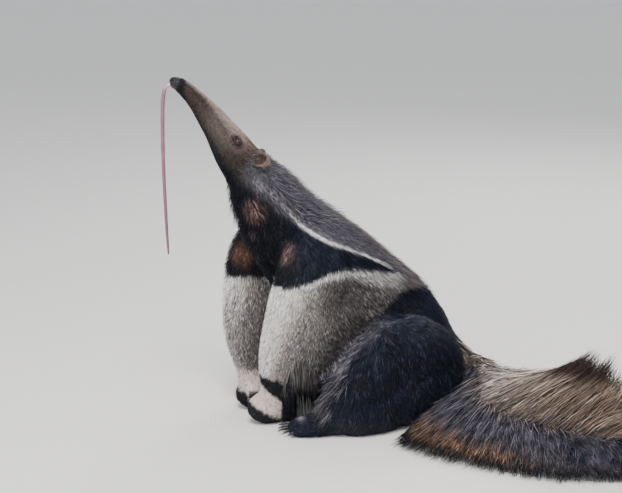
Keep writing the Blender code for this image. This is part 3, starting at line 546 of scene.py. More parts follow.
def head_axes(number):
    """The head's centre at one station, its way forward and its way up."""
    near, far = HEAD[max(number - 1, 0)], HEAD[min(number + 1, len(HEAD) - 1)]
    forward = unit(np.array(far[:3]) - np.array(near[:3]))
    return np.array(HEAD[number][:3]), forward, unit(-np.cross(HEAD_LEFT, forward))


def eye_place(side):
    """An eyeball's centre, just under the skin beside the head."""
    centre, _, up = head_axes(2)
    out = HEAD[2][3] * math.sqrt(1 - (EYE_RISE / HEAD[2][4]) ** 2) - EYE_RADIUS * 0.62
    return centre + up * EYE_RISE + HEAD_LEFT * out * side


def refine(mesh, wanted):
    """Divides the faces whose middle passes the test in four."""
    chosen = np.flatnonzero(wanted(read(mesh.polygons, "center", 3)))
    bm = bmesh.new()
    bm.from_mesh(mesh)
    bm.faces.ensure_lookup_table()
    edges = {edge for index in chosen for edge in bm.faces[index].edges}
    bmesh.ops.subdivide_edges(bm, edges=list(edges), cuts=1, use_grid_fill=True)
    bm.to_mesh(mesh)
    bm.free()


def soften_where(mesh, amount, rounds):
    write_points(mesh, relax(read_points(mesh), read_edges(mesh), amount(read_points(mesh)), rounds))


def ahead_of_neck(points):
    return (points - np.array(NECK_END)) @ np.array(NECK_WAY) > 0


def near_detail(points):
    """Close to an eye, or on the last of the snout."""
    spots = [(eye_place(side), EYE_DETAIL) for side in (1, -1)] + [(np.array(HEAD[8][:3]), NOSE_DETAIL)]
    return np.any([np.linalg.norm(points - spot, axis=1) < size for spot, size in spots], axis=0)


for _ in range(2):
    refine(skin.data, ahead_of_neck)
    soften_where(skin.data, lambda p: 0.5 * eased(p[:, 2], 0.69, 0.71)[:, None], 2)
refine(skin.data, near_detail)
soften_where(skin.data, lambda p: 0.4 * eased(p[:, 2], 0.70, 0.72)[:, None], 1)
print("with a fine head:", len(skin.data.vertices), "points")

# %% Lids, nostrils and mouth
LID_THICK = 0.0011
EYE_OPEN = (0.0066, 0.0030)  # half length and half height of the open eye
FOLD_SPACING = 0.0030
FOLD_HEIGHT = 0.00055
RIM_HEIGHT = 0.0005
LID_REACH = 0.026
LID_SLANT = 0.18
BALL_SINK = 0.0016
NOSTRIL_PLACE = (0.0115, 0.0055, 0.0105)  # forwards, up and out from the middle of the nose
NOSTRIL_SIZE = (0.0056, 0.0030, 0.008)
MOUTH_PLACE = (0.016, -0.0075)  # forwards and up
MOUTH_SIZE = (0.008, 0.0055, 0.0075)
LIP_DEPTH = 0.0013


def eye_axes(side):
    """The eye's way forward, its way up over the head and its way out."""
    _, forward, up = head_axes(2)
    out = unit(HEAD_LEFT * side + up * 0.42)
    along = unit(forward - out * np.dot(forward, out))
    over = np.cross(out, along)
    return along, over * np.sign(np.dot(over, up)), out


def soft_max(first, second, blend):
    """The larger of two heights, with the crease between them rounded."""
    return second + blend * np.logaddexp(0, (first - second) / blend)


def sculpt_eye(points, side):
    """Raises the lids over the eyeball, opens them and lays folds round them."""
    along, over, out = eye_axes(side)
    off = points - eye_place(side)
    a, b, c = off @ along, off @ over, off @ out
    tilt = b - a * LID_SLANT
    reach = np.hypot(a / 1.15, tilt)
    near = (reach < LID_REACH) & (c > -0.006)
    ball = np.sqrt(np.maximum((EYE_RADIUS + LID_THICK) ** 2 - a * a - b * b, 0))
    height = np.where(near, soft_max(ball, c, 0.0012), c)
    ripple = np.sin(reach / FOLD_SPACING * 2 * math.pi + 0.9 * np.sin(a * 420 + 1) + tilt * 90)
    folded = between(reach, 0.0055, 0.0085, 0.013, 0.019)
    height = height + np.where(near, ripple * FOLD_HEIGHT * folded, 0)
    narrowing = np.sqrt(np.clip(1.15 - (a / 0.008) ** 2, 0.2, 1))
    almond = np.hypot(a / EYE_OPEN[0], tilt / (EYE_OPEN[1] * narrowing))
    height = height + np.where(near, RIM_HEIGHT * hill(almond, 1.35, 0.25), 0)
    inner = np.sqrt(np.maximum(EYE_RADIUS**2 - a * a - b * b, 0)) - BALL_SINK
    gap = np.where(near, faded(almond, 0.82, 1.12), 0)
    height = height * (1 - gap) + inner * gap
    bare = np.where(c > -0.008, faded(reach, 0.0095, 0.0165), 0)
    return points + out * (height - c)[:, None], bare


def press(points, centre, ways, sizes, push):
    """Pushes a soft oval dent into the points."""
    off = points - centre
    far = sum((off @ way / size) ** 2 for way, size in zip(ways, sizes))
    return points + np.outer(np.clip(1 - far, 0, 1) ** 0.7, push)


points = read_points(skin.data)
bare = np.zeros(len(points))
for side in (1, -1):
    points, found = sculpt_eye(points, side)
    bare = np.maximum(bare, found)
nose, nose_way, nose_up = head_axes(7)
for side in (1, -1):
    ahead, high, aside = NOSTRIL_PLACE
    spot = nose + nose_way * ahead + nose_up * high + HEAD_LEFT * side * aside
    slant = unit(nose_way * 0.6 + nose_up * 0.8)
    ways = (slant, np.cross(slant, HEAD_LEFT), HEAD_LEFT)
    push = -HEAD_LEFT * side * 0.0045 - nose_way * 0.0015
    points = press(points, spot, ways, NOSTRIL_SIZE, push)
lip = nose - nose_up * 0.0052
off = points - lip
line = hill(off @ nose_up + (off @ nose_way) * 0.10, 0, 0.0011)
line = line * eased(off @ nose_way, -0.020, -0.014)
points = points + unit(lip - points) * (LIP_DEPTH * line)[:, None]
mouth = nose + nose_way * MOUTH_PLACE[0] + nose_up * MOUTH_PLACE[1]
points = press(points, mouth, (nose_way, nose_up, HEAD_LEFT), MOUTH_SIZE, -nose_way * 0.006)
write_points(skin.data, points)
print("bare skin round the eyes:", int((bare > 0.5).sum()), "points")

# %% [markdown]
# ## Ears
# An anteater's ears are small round cups. A cup is half a squashed ball with a wall, folded a little at
# its front edge. They join the skin's own mesh, so that they share its markings and its fur.

# %% Two ear cups
EAR_SIZE = 0.021
EAR_WALL = 0.0024
EAR_BACK = 0.014
EAR_OUT = 0.039
EAR_POSE = {1: (0.041, 0.60), -1: (0.034, 0.40)}  # side: (how high its root is, how upright it stands)


def ear_frame(side):
    """The middle of one cup, and its ways across, out of its opening and up to its rim."""
    centre, forward, up = head_axes(1)
    lift, upright = EAR_POSE[side]
    root = centre - forward * EAR_BACK + up * lift + HEAD_LEFT * side * EAR_OUT
    stand = unit(up * upright - forward * 0.50 + HEAD_LEFT * side * 0.68)
    facing = forward * 0.60 + HEAD_LEFT * side * 0.80 + up * 0.1
    facing = unit(facing - stand * np.dot(facing, stand))
    return root + stand * EAR_SIZE * 0.85, np.cross(facing, stand), facing, stand


def ear_mesh(side):
    """One cup, open forwards and outwards, its foot under the skin."""
    middle, across, facing, stand = ear_frame(side)
    bm = bmesh.new()
    bmesh.ops.create_uvsphere(bm, u_segments=36, v_segments=24, radius=1)
    gone = [vert for vert in bm.verts if vert.co.y > 0.22 + 0.10 * math.sin(vert.co.z * 5 + 1)]
    bmesh.ops.delete(bm, geom=gone, context="VERTS")
    mesh = bpy.data.meshes.new("ear")
    bm.to_mesh(mesh)
    bm.free()
    shape = read_points(mesh)
    x, y, z = shape.T
    fold = 0.22 * hill(x * side, -0.55, 0.25) * hill(z, 0, 0.6)
    y = y * 0.58 + fold - 0.06 * np.abs(z)
    x, z = x * 0.95, z * 1.15
    shape = np.outer(x, across) + np.outer(y, facing) + np.outer(z, stand)
    write_points(mesh, middle + shape * (EAR_SIZE - 0.001))
    made = add_object("ear_cup", mesh)
    wall = made.modifiers.new("wall", "SOLIDIFY")
    wall.thickness = EAR_WALL
    wall.offset = 0
    round_edge = made.modifiers.new("round", "SUBSURF")
    round_edge.levels = 1
    round_edge.render_levels = 1
    applied(made)
    return made


body_points = len(skin.data.vertices)
ears = [ear_mesh(side) for side in (1, -1)]
joined = bmesh.new()
joined.from_mesh(skin.data)
for ear in ears:
    joined.from_mesh(ear.data)
    bpy.data.objects.remove(ear)
joined.to_mesh(skin.data)
joined.free()
skin.data.shade_smooth()
ear_points = len(skin.data.vertices) - body_points
print("ears:", ear_points, "points")

# %% [markdown]
# ## Unwrap the skin
# Every tuft takes its place on one map of the skin, so the map comes first. Smart projection cuts the
# surface where it turns, lays the patches flat and packs them, without any camera.

# %% A map of the skin's own shape
def unwrap(thing):
    bpy.context.view_layer.objects.active = thing
    for other in bpy.context.scene.objects:
        other.select_set(other == thing)
    bpy.ops.object.mode_set(mode="EDIT")
    bpy.ops.mesh.select_all(action="SELECT")
    bpy.ops.uv.smart_project(angle_limit=math.radians(66), island_margin=0.001)
    bpy.ops.object.mode_set(mode="OBJECT")
    thing.data.uv_layers.active.name = "OFBake"


unwrap(skin)
print("unwrapped:", len(skin.data.polygons), "faces")

# %% [markdown]
# ## The markings
# A giant anteater wears a black wedge from its throat over the shoulder, narrowing to a point on the
# back, with a white line above it. The forelegs are white, the haunch and tail nearly black. Skin and
# hair ask the same function for their colour, so the markings agree wherever the coat parts. The edges
# are short lines in side view, written as (y, z).

# %% Colours and the lines between them
def tone(red, green, blue):
    """A colour given as it looks on a screen, from 0 to 255, for use in shading."""
    value = np.array((red, green, blue)) / 255
    return np.where(value <= 0.04045, value / 12.92, ((value + 0.055) / 1.055) ** 2.4)


BLACK = tone(9, 12, 22)
BLUE_BLACK = tone(15, 20, 40)
NAVY_SHEEN = tone(6, 14, 36)
# This colour serves both for light hairs among the dark ones and for the painted sheen on top of the haunch.
SPECKLE_AND_SHEEN = tone(84, 88, 104)
BACK_GREY = tone(112, 110, 121)
CREST_BROWN = tone(106, 90, 76)
WHITE = tone(249, 247, 245)
PAW_WHITE = tone(236, 219, 208)
CREAM = tone(224, 216, 208)
PEPPER = tone(123, 117, 116)
PEPPER_DARK = tone(58, 53, 54)
RIM_GREY = tone(164, 159, 168)
SNOUT_TOP_HIGHLIGHT = tone(178, 158, 150)
SNOUT_SIDE = tone(60, 47, 42)
FACE = tone(92, 80, 75)
SNOUT_UNDER_SHADE = tone(44, 35, 31)
CHEEK = tone(48, 40, 31)
OCHRE = tone(196, 172, 144)
EAR_BROWN = tone(92, 74, 62)
MAROON = tone(40, 16, 24)
LIP_RED = tone(58, 24, 32)
ORANGE = tone(156, 110, 88)
ROSE = tone(140, 112, 108)
SLATE = tone(96, 92, 100)
TAIL_ORANGE = tone(134, 104, 80)
TAIL_TAN = tone(184, 168, 155)
TAIL_PALE = tone(216, 208, 202)
TAIL_BROWN = tone(104, 84, 70)
TUFT_BROWN = tone(42, 26, 22)
STREAK_GREY = tone(150, 144, 152)

WHITE_LINE = ((-0.500, 0.672), (-0.440, 0.620), (-0.406, 0.586), (-0.374, 0.547), (-0.345, 0.523),
              (-0.301, 0.498), (-0.246, 0.472), (-0.193, 0.448), (-0.144, 0.422), (-0.100, 0.396))
PALE_EDGE = ((-0.100, 0.392), (-0.158, 0.407), (-0.201, 0.416), (-0.282, 0.431), (-0.329, 0.435),
             (-0.366, 0.423), (-0.400, 0.412), (-0.432, 0.401), (-0.520, 0.398))
HAUNCH_EDGE = ((-0.374, 0.000), (-0.369, 0.080), (-0.360, 0.117), (-0.338, 0.157), (-0.310, 0.187),
               (-0.286, 0.227), (-0.249, 0.255), (-0.201, 0.284), (-0.165, 0.302), (-0.140, 0.325),
               (-0.103, 0.343), (-0.054, 0.346), (0.020, 0.328), (0.100, 0.300))


def beside(line, y, z):
    """How far points lie from a line in side view: above zero on its left, below zero on its right."""
    line = np.array(line)
    best = np.full(len(y), 1e9)
    signed = np.zeros(len(y))
    for start, end in zip(line, line[1:]):
        way = end - start
        t = np.clip(((y - start[0]) * way[0] + (z - start[1]) * way[1]) / (way @ way), 0, 1)
        dy, dz = y - start[0] - way[0] * t, z - start[1] - way[1] * t
        far = np.hypot(dy, dz)
        closer = far < best
        best[closer] = far[closer]
        signed[closer] = (far * np.sign(way[0] * dz - way[1] * dy))[closer]
    return signed


def currents(points, size, seed, count=1):
    """Smooth made-up waves through space, one column or more of them, mostly between -1 and 1."""
    rng = np.random.default_rng(seed)
    total = np.zeros((len(points), count))
    for _ in range(6):
        wave = unit(rng.normal(size=3)) * 2 * math.pi / size * rng.uniform(0.6, 1.7)
        total += np.sin(points @ wave + rng.uniform(0, 6.3))[:, None] * rng.normal(size=count)
    return total / 2.6


def mixed(colour, other, share):
    """One colour or a column of them, mixed with another by the share at each point."""
    return colour + (other - colour) * np.clip(share, 0, 1)[:, None]


# %% The colour of the body at any point
LEG_MIDDLE = 0.015  # the x that divides the near foreleg from the far one
LEG_TOPS = (0.398, 0.372)  # how high the near and the far foreleg are white
WRIST = (-0.487, 0.133)  # (y, z) of the near wrist's black band
WRIST_SLOPE = 0.62
TOE_SLOPE = 0.66
FOOT_SPOT = (0.180, -0.402, 0.047)  # a pale spot on the side of each hind foot
THIN_SPOTS = (  # (place, radius, strength, colour): where thin hair shows the skin under it
    ((0.128, -0.425, 0.482), 0.046, 0.66, ROSE),
    ((-0.064, -0.482, 0.436), 0.054, 0.52, ORANGE),
    ((0.064, -0.485, 0.584), 0.044, 0.80, ROSE),
    ((-0.064, -0.495, 0.584), 0.036, 0.50, ROSE),
    ((0.044, -0.486, 0.518), 0.020, 0.35, ROSE),
    ((0.052, -0.455, 0.398), 0.024, 0.50, ROSE),
    ((0.056, -0.415, 0.662), 0.013, 0.75, MAROON),
)


def paint_trunk(p, up):
    """Back, crest, white line with a grey streak above it, black wedge and pale flank."""
    x, y, z = p.T
    line = beside(WHITE_LINE, y, z)
    pale = beside(PALE_EDGE, y, z + np.where(x < 0, 0.030 * eased(-y, 0.34, 0.45), 0))
    wobble = currents(p, 0.05, 3)[:, 0] * 0.003
    colour = mixed(BACK_GREY, CREST_BROWN, eased(up, 0.70, 0.95) * 0.7)
    colour = mixed(colour, PEPPER_DARK, 0.30 + 0.12 * currents(p, 0.020, 4)[:, 0])
    soft = 0.006 + 0.026 * eased(-y, 0.36, 0.43)
    black = eased((-line + wobble) / soft, 0.0, 1.0) * eased(-pale + wobble, -0.004, 0.006)
    flank = eased(pale + wobble, 0.0, 0.008) * eased(-line, -0.01, 0.01)
    glow = faded(pale + wobble * 2, 0.004, 0.026 + 0.026 * eased(y, -0.28, -0.16))
    far_back = eased(y, -0.40, -0.30) * eased(pale, 0.010, 0.045) * (1 - 0.55 * eased(y, -0.25, -0.17))
    shade = far_back * 0.70 + 0.18 * currents(p, 0.03, 18)[:, 0]
    side = mixed(PEPPER, PEPPER_DARK, shade)
    side = mixed(side, WHITE, glow * (0.90 - 0.50 * eased(y, -0.34, -0.06)))
    belly = eased(-z, -0.17, -0.12) * faded(np.abs(x), 0.075, 0.105)
    side = mixed(side, BLACK, belly)
    colour = mixed(colour, side, flank)
    black = black * (z > 0.22)
    colour = mixed(colour, BLACK, black)
    # Over the shoulder the black wedge turns navy. This is the hair's own blue-black plus a painted bluish
    # sheen of light on it.
    colour = mixed(colour, NAVY_SHEEN, black * eased(y, -0.44, -0.37))
    width = 0.0027 + 0.0013 * eased(-y, 0.20, 0.36)
    white = hill(line, 0.002, width) * between(-y, 0.10, 0.13, 0.36, 0.41)
    streak = hill(line, 0.003, 0.007) * between(-y, 0.34, 0.39, 0.47, 0.50)
    colour = mixed(colour, STREAK_GREY, streak * 0.65)
    return mixed(colour, WHITE, white * 1.3)


def paint_foreleg(p, places, trunk):
    """White in front, salt and pepper behind; black wrist band, black toes."""
    x, y, z = p.T
    left = x > LEG_MIDDLE
    front = places["fore_front"]
    paw = faded(z, 0.09, 0.12)
    white = np.maximum(eased(front + currents(p, 0.02, 16)[:, 0] * 0.10, 0.09, 0.92), paw)
    behind = mixed(PEPPER, CREAM, 0.18 * eased(front, -0.6, 0.0))
    behind = mixed(behind, PEPPER_DARK, 0.4 * eased(-front, 0.4, 0.9))
    behind = mixed(behind, PEPPER_DARK, 0.62 * eased(y, -0.375, -0.325) * eased(z, 0.28, 0.34) * left)
    leg = mixed(behind, CREAM, white)
    leg = mixed(leg, WHITE, np.maximum(eased(front, 0.35, 0.95), paw) * 0.9)
    # The far foreleg is painted greyer and darker towards the ground. This is painted shade.
    leg = mixed(leg, PEPPER, (~left) * (1 - paw) * (0.02 + 0.55 * eased(-z, -0.34, -0.24)))
    leg = mixed(leg, PEPPER_DARK, (~left) * (1 - paw) * 0.22 * eased(-z, -0.24, -0.18))
    leg = mixed(leg, PAW_WHITE, paw * 0.9)
    wave = currents(p, 0.03, 8)[:, 0] * 0.003
    drop = z - WRIST[1] + WRIST_SLOPE * (y - WRIST[0])
    thick = 0.010 + 0.012 * eased(y, -0.49, -0.44)
    wrist = faded(np.abs(drop) + wave, thick, thick + 0.009) * left
    leg = mixed(leg, BLACK, wrist)
    toes = 0.060 - TOE_SLOPE * (y + np.where(left, 0.505, 0.500)) - z
    toes = np.maximum(toes, 0.012 - z)
    leg = mixed(leg, BLACK, eased(toes + currents(p, 0.02, 9)[:, 0] * 0.002, -0.008, 0.007))
    edge = np.where(left, *LEG_TOPS)
    return mixed(trunk, leg, faded(z - edge + currents(p, 0.03, 10)[:, 0] * 0.004, -0.008, 0.004))


def paint_head(p, places):
    """Brown-grey snout with painted light along the top and painted shade underneath, black under the jaw and
    at the tip.
    """
    up, share = places["head_up"], places["head_share"]
    near_face = faded(share, 0.36, 0.56)
    colour = mixed(SNOUT_SIDE, FACE, near_face)
    # The paler top is painted light and the darker underside is painted shade, laid over the snout's own
    # brown-grey.
    colour = mixed(colour, SNOUT_TOP_HIGHLIGHT, eased(up, 0.55 - 0.25 * near_face, 1.0))
    colour = mixed(colour, SNOUT_UNDER_SHADE, eased(-up, 0.05, 0.80) * 0.9)
    colour = mixed(colour, CREST_BROWN * 0.6, faded(share, 0.14, 0.26) * 0.8)
    colour = mixed(colour, CHEEK, faded(share, 0.15, 0.36) * faded(up, 0.3, 0.8) * 0.9)
    nape = faded(share, -0.02, 0.12) * eased(up, -0.1, 0.4)
    colour = mixed(colour, BACK_GREY * 0.8, nape * 0.9)
    under = eased(-up, 0.22 + 0.40 * eased(share, 0.05, 0.5), 0.60 + 0.40 * eased(share, 0.05, 0.5))
    colour = mixed(colour, BLACK, under * (1 - 0.8 * eased(share, 0.35, 0.6)))
    colour = colour * (1 + 0.12 * currents(p, 0.022, 5) + 0.06 * currents(p, 0.007, 17))
    for side in (1, -1):
        off = (p - eye_place(side)) @ np.stack(eye_axes(side)).T
        far = np.linalg.norm(off * (0.74, 1.05, 1), axis=1)
        patch = far + currents(p, 0.016, 6)[:, 0] * 0.0030
        colour = mixed(colour, ROSE, hill(far, 0.021, 0.008) * 0.22)
        colour = mixed(colour, MAROON, faded(patch, 0.0100, 0.0190) * 0.97)
    lips = hill(up, -0.50, 0.25) * eased(share, 0.70, 0.74)
    colour = mixed(colour, BLACK, eased(share, 0.615 + 0.050 * up, 0.665 + 0.050 * up))
    return mixed(colour, LIP_RED, lips * faded(share, 0.90, 0.96) * 0.8)


def paint_ears(p, normals):
    """Brown outside, darker in the cup, with a pale rim."""
    colour = np.zeros((len(p), 3))
    for side in (1, -1):
        middle, _, facing, stand = ear_frame(side)
        off = (p - middle) / EAR_SIZE
        own = np.linalg.norm(off, axis=1) < 2
        inside = eased(np.sum(normals * -off, axis=1), 0.0, 0.35)
        rim = eased(off @ facing, -0.10, 0.10)
        found = mixed(OCHRE * 0.24, EAR_BROWN * 0.75, inside * (1 - rim))
        found = mixed(found, OCHRE, rim * (0.12 + 0.88 * eased(off @ stand, 0.0, 0.8)))
        found = mixed(found, BACK_GREY * 0.7, faded(off @ stand, -0.6, 0.0) * (1 - inside))
        colour[own] = found[own]
    return colour * (1 + 0.12 * currents(p, 0.008, 14))


def paint_hind(p, places, trunk):
    """Blue-black, with a grey rim along the front of thigh and shin."""
    x, y, z = p.T
    wave = currents(p, 0.04, 7)[:, 0]
    edge = beside(HAUNCH_EDGE, y, z) + wave * 0.003
    dark = BLUE_BLACK * (1 + 0.25 * currents(p, 0.10, 12))
    # A bluish-grey band along the top of the haunch is a painted sheen of light on the black hair.
    dark = mixed(dark, SPECKLE_AND_SHEEN, hill(y, -0.06, 0.07) * hill(z, 0.27, 0.035) * 0.22)
    height = between(z, 0.05, 0.09, 0.285, 0.31)
    wide = 0.019 + 0.004 * wave + 0.006 * faded(z, 0.14, 0.21)
    rim = faded(-edge, wide - 0.013, wide) * height
    rim = rim * (0.75 + 0.5 * currents(p, 0.009, 19)[:, 0])
    dark = mixed(dark, RIM_GREY, rim * (0.9 - 0.65 * eased(z, 0.15, 0.28)))
    dark = mixed(dark, RIM_GREY, eased(y, 0.02, 0.12) * eased(z, 0.10, 0.22) * 0.15)
    shadow = between(edge, -0.004, 0.004, 0.0, 0.050) * (z < 0.30)
    trunk = mixed(trunk, PEPPER_DARK * 0.6, shadow * 0.75)
    colour = mixed(trunk, dark, eased(-edge, -0.004, 0.006))
    foot = (places["weight"][:, 4] + places["weight"][:, 5]) * faded(z, 0.080, 0.095) * (y < -0.20)
    colour = mixed(colour, BLUE_BLACK, eased(foot, 0.3, 0.6))
    aside, ahead, high = FOOT_SPOT
    spot = hill(np.hypot(y - ahead, z - high), 0, 0.009) * hill(np.abs(x), aside, 0.018)
    return mixed(colour, RIM_GREY, spot * 0.9)


def paint(p, places):
    """The marking's colour at each point of skin or hair."""
    weight, up = places["weight"], places["trunk_up"]
    trunk = paint_trunk(p, up)
    x, y, z = p.T
    half = 0.036 * eased(z, 0.29, 0.43)
    inner = faded(np.abs(x - 0.004), half, half + 0.016) * between(z, 0.22, 0.27, 0.60, 0.64)
    inner = inner * faded(y, -0.31, -0.27) * faded(up, -0.3, 0.2)
    fore = weight[:, 2] + weight[:, 3]
    colour = mixed(trunk, paint_foreleg(p, places, trunk), eased(fore, 0.25, 0.6))
    colour = mixed(colour, BLACK, inner)
    colour = paint_hind(p, places, colour)
    throat = eased(-up, -0.2, 0.2) * faded(places["trunk_share"], 0.80, 1.0) * eased(z, 0.58, 0.63)
    colour = mixed(colour, BLACK, throat * 0.9)
    colour = mixed(colour, paint_head(p, places), eased(weight[:, 1], 0.25, 0.75))
    patchy = 1 + 0.45 * currents(p, 0.018, 15)[:, 0]
    for place, radius, strength, hue in THIN_SPOTS:
        far = np.linalg.norm(p - np.array(place), axis=1)
        colour = mixed(colour, hue, faded(far, 0, radius) * strength * patchy)
    return mixed(colour, BLUE_BLACK, eased(weight[:, 6], 0.35, 0.7))


# %% Measure the finished skin and lay the markings on it
def with_leg_front(found, points):
    """Adds how far forward on its foreleg each point lies, from -1 to 1."""
    _, _, left, _ = limb_ratio(points, FORELEG_LEFT)
    _, _, right, _ = limb_ratio(points, FORELEG_RIGHT)
    found["fore_front"] = np.where(points[:, 0] > LEG_MIDDLE, left, right)
    return found


def put_colours(mesh, name, values):
    """Keeps one colour for each point of a mesh."""
    layer = mesh.color_attributes.new(name, "FLOAT_COLOR", "POINT")
    full = np.ones((len(values), 4), np.float32)
    full[:, :values.shape[1]] = values
    layer.data.foreach_set("color", full.ravel())


points = read_points(skin.data)
normals = read_normals(skin.data)
places = with_leg_front(measure(points), points)
marking = paint(points, places)
marking[body_points:] = paint_ears(points[body_points:], normals[body_points:])
in_ear = np.zeros(len(points))
in_ear[body_points:] = 1
nose_tip = eased(places["head_share"], 0.715, 0.755) * (places["weight"][:, 1] > 0.5)
bare = np.concatenate([bare, np.zeros(ear_points)])
wet = np.maximum(nose_tip * (1 - in_ear), bare * 0.5)
put_colours(skin.data, "marking", marking)
put_colours(skin.data, "finish", np.stack([np.maximum(bare, nose_tip), wet, in_ear], 1))
print("marked the skin:", len(points), "points")

# %% [markdown]
# ## How the coat lies
# Hair grows back over the head and neck, sweeps down the flanks and runs down the legs. Each point of
# the skin gets its own way, length, width and lift, mixed from the parts it belongs to, and a slow
# current through space keeps the lie from looking combed.

# %% Length, width, lift and way of the hair at each point
HAIR = {  # part: (length, width, how far the tip stands off the skin)
    "trunk": (0.030, 0.0026, 0.0085),
    "head": (0.0085, 0.0013, 0.0018),
    "fore_left": (0.020, 0.0021, 0.0055),
    "fore_right": (0.020, 0.0021, 0.0055),
    "hind_left": (0.034, 0.0027, 0.0090),
    "hind_right": (0.034, 0.0027, 0.0090),
    "tail": (0.034, 0.0036, 0.0100),
}


def lie(points, normals, places):
    """The way the hair runs, along the skin."""
    x, y, z = points.T
    weight = places["weight"]
    level = np.abs(places["trunk_up"])
    down = np.array((0.0, 0.0, -1.0))
    way = places["way"] + down * (weight[:, 0] * (1 - level) * 0.45)[:, None]
    flank = weight[:, 0] * eased(-z, -0.42, -0.34) * eased(np.abs(x), 0.05, 0.09)
    way = way + np.array((0, 0.10, -0.9)) * flank[:, None]
    hind = weight[:, 4] + weight[:, 5]
    shin = faded(y, -0.28, -0.16)
    haunch = np.array((0.0, 0.22, -0.97)) * (1 - shin)[:, None] + np.array((0, -0.25, -0.9)) * shin[:, None]
    foot = faded(y, -0.36, -0.32)[:, None]
    haunch = haunch * (1 - foot) + np.array((0, -0.95, -0.2)) * foot
    way = way * (1 - hind)[:, None] + haunch * hind[:, None]
    way = way + currents(points, 0.11, 21, 3) * 0.20 + currents(points, 0.030, 22, 3) * 0.16
    return unit(way - normals * dot(way, normals))


def coat_sizes(points, places):
    """Hair length, width and lift at each point, cut down on face, forelegs and feet."""
    x, y, z = points.T
    weight = places["weight"]
    share = places["head_share"]
    face = weight[:, 1] * eased(share, 0.05, 0.35)
    low = (weight[:, 2] + weight[:, 3]) * faded(z, 0.05, 0.26)
    foot = (weight[:, 4] + weight[:, 5]) * faded(y, -0.36, -0.26) * faded(z, 0.06, 0.14)
    inside = (z < 0.30) & (np.abs(x) < 0.02) & (y > -0.35)
    found = weight @ np.array([HAIR[part] for part in PARTS])
    cuts = ((face * eased(share, 0.2, 0.8), (0.55, 0, 0)), (face, (0, 0.25, 0)),
            (low, (0.55, 0.30, 0.55)), (foot, (0.62, 0.35, 0.70)), (inside, (0.4, 0, 0)))
    for where, cut in cuts:
        found = found * (1 - where[:, None] * cut)
    return found


sizes = coat_sizes(points, places)
flow = lie(points, normals, places)
for k in range(body_points, len(points)):
    stand = ear_frame(1 if points[k] @ HEAD_LEFT > points[body_points:].mean(0) @ HEAD_LEFT else -1)[3]
    flow[k] = unit(stand - normals[k] * np.dot(stand, normals[k]))
sizes[body_points:] = (0.0105, 0.0011, 0.0020)
print("hair length:", (sizes[:, 0].min() * 1000).round(1), "to", (sizes[:, 0].max() * 1000).round(1), "mm")

# %% [markdown]
# ## Growing tufts
# Blender's own hair would be the quickest way, but a reusable model needs hair that is real mesh. Each
# tuft is a thin blade with three sides that tapers to a point. Arrays build all blades of a piece at
# once, and a piece keeps for every blade its marking, a chance value and how far along it a point is.

# %% Pick places on the skin
def skin_triangles(mesh):
    """The points and the map places at the corners of every triangle."""
    mesh.calc_loop_triangles()
    corners = read(mesh.loop_triangles, "vertices", 3, np.int32)
    loops = read(mesh.loop_triangles, "loops", 3, np.int32)
    return corners, read(mesh.uv_layers["OFBake"].data, "uv", 2)[loops]


corner_points, corner_maps = skin_triangles(skin.data)
sides = points[corner_points]
areas = np.linalg.norm(np.cross(sides[:, 1] - sides[:, 0], sides[:, 2] - sides[:, 0]), axis=1) / 2
skin_tree = BVHTree.FromPolygons(points.tolist(), corner_points.tolist())
print("skin area:", round(float(areas.sum()), 2), "square metres")


class Roots:
    """Random places on the skin, with what the skin knows there."""

    def __init__(self, count, density, rng):
        chance = areas * density[corner_points].mean(axis=1)
        pick = rng.choice(len(areas), count, p=chance / chance.sum())
        a, b = rng.random((2, count))
        flip = a + b > 1
        a[flip], b[flip] = 1 - a[flip], 1 - b[flip]
        self.corners = corner_points[pick]
        self.share = np.stack([1 - a - b, a, b], 1)
        self.map = np.einsum("nk,nkc->nc", self.share, corner_maps[pick])
        self.place = self.of(points)
        self.normal = unit(self.of(normals))
        self.flow = unit(self.of(flow))

    def of(self, field):
        """A field of the skin's points, read at the roots."""
        if field.ndim == 1:
            return np.sum(field[self.corners] * self.share, axis=1)
        return np.einsum("nk,nkc->nc", self.share, field[self.corners])

    def places(self):
        return {name: self.of(value) for name, value in places.items()}


# %% Build blades as one mesh
def blade_points(paths, widths, facing, flat):
    """Three corners at each step of every path, and one at its tip."""
    count, steps = paths.shape[0], paths.shape[1] - 1
    way = unit(np.gradient(paths, axis=1))
    side = unit(np.cross(way, facing[:, None, :]))
    top = np.cross(side, way)
    share = np.arange(steps) / steps
    swell = 0.72 + 0.28 * np.sin(math.pi * np.minimum(share * 2, 1))
    half = (widths[:, None] / 2 * (swell * (1 - share**2.5)))[..., None]
    centre, side, top = paths[:, :-1], side[:, :-1], top[:, :-1]
    ring = [centre + top * half * flat, centre + (side - top * flat * 0.5) * half,
            centre - (side + top * flat * 0.5) * half]
    rings = np.stack(ring, axis=2).reshape(count, steps * 3, 3)
    return np.concatenate([rings, paths[:, -1:]], axis=1)


def blade_faces(steps):
    """The triangles of one blade."""
    made = []
    for k in range(steps - 1):
        for c in range(3):
            n = (c + 1) % 3
            low, low_next, high, high_next = k * 3 + c, k * 3 + n, k * 3 + 3 + c, k * 3 + 3 + n
            made += [(low, low_next, high_next), (low, high_next, high)]
    last = (steps - 1) * 3
    return np.array(made + [(last + c, last + (c + 1) % 3, steps * 3) for c in range(3)])


PATCH = 0.003  # the side of a blade's own place on the map
PATH_GAP = 0.0012  # between the floor and a blade's middle line
BLADE_GAP = 0.0008  # between the floor and a blade's corners
GUARD_SHARE = 0.12  # how many hairs are long and thin guard hairs
VARIETY = (  # (least, most, a guard hair's): how much of the usual size a hair has
    (0.75, 1.15, 1.35),  # length
    (0.7, 1.2, 0.6),  # width
    (0.55, 1.15, 1.25),  # lift
)
coat_pieces = []


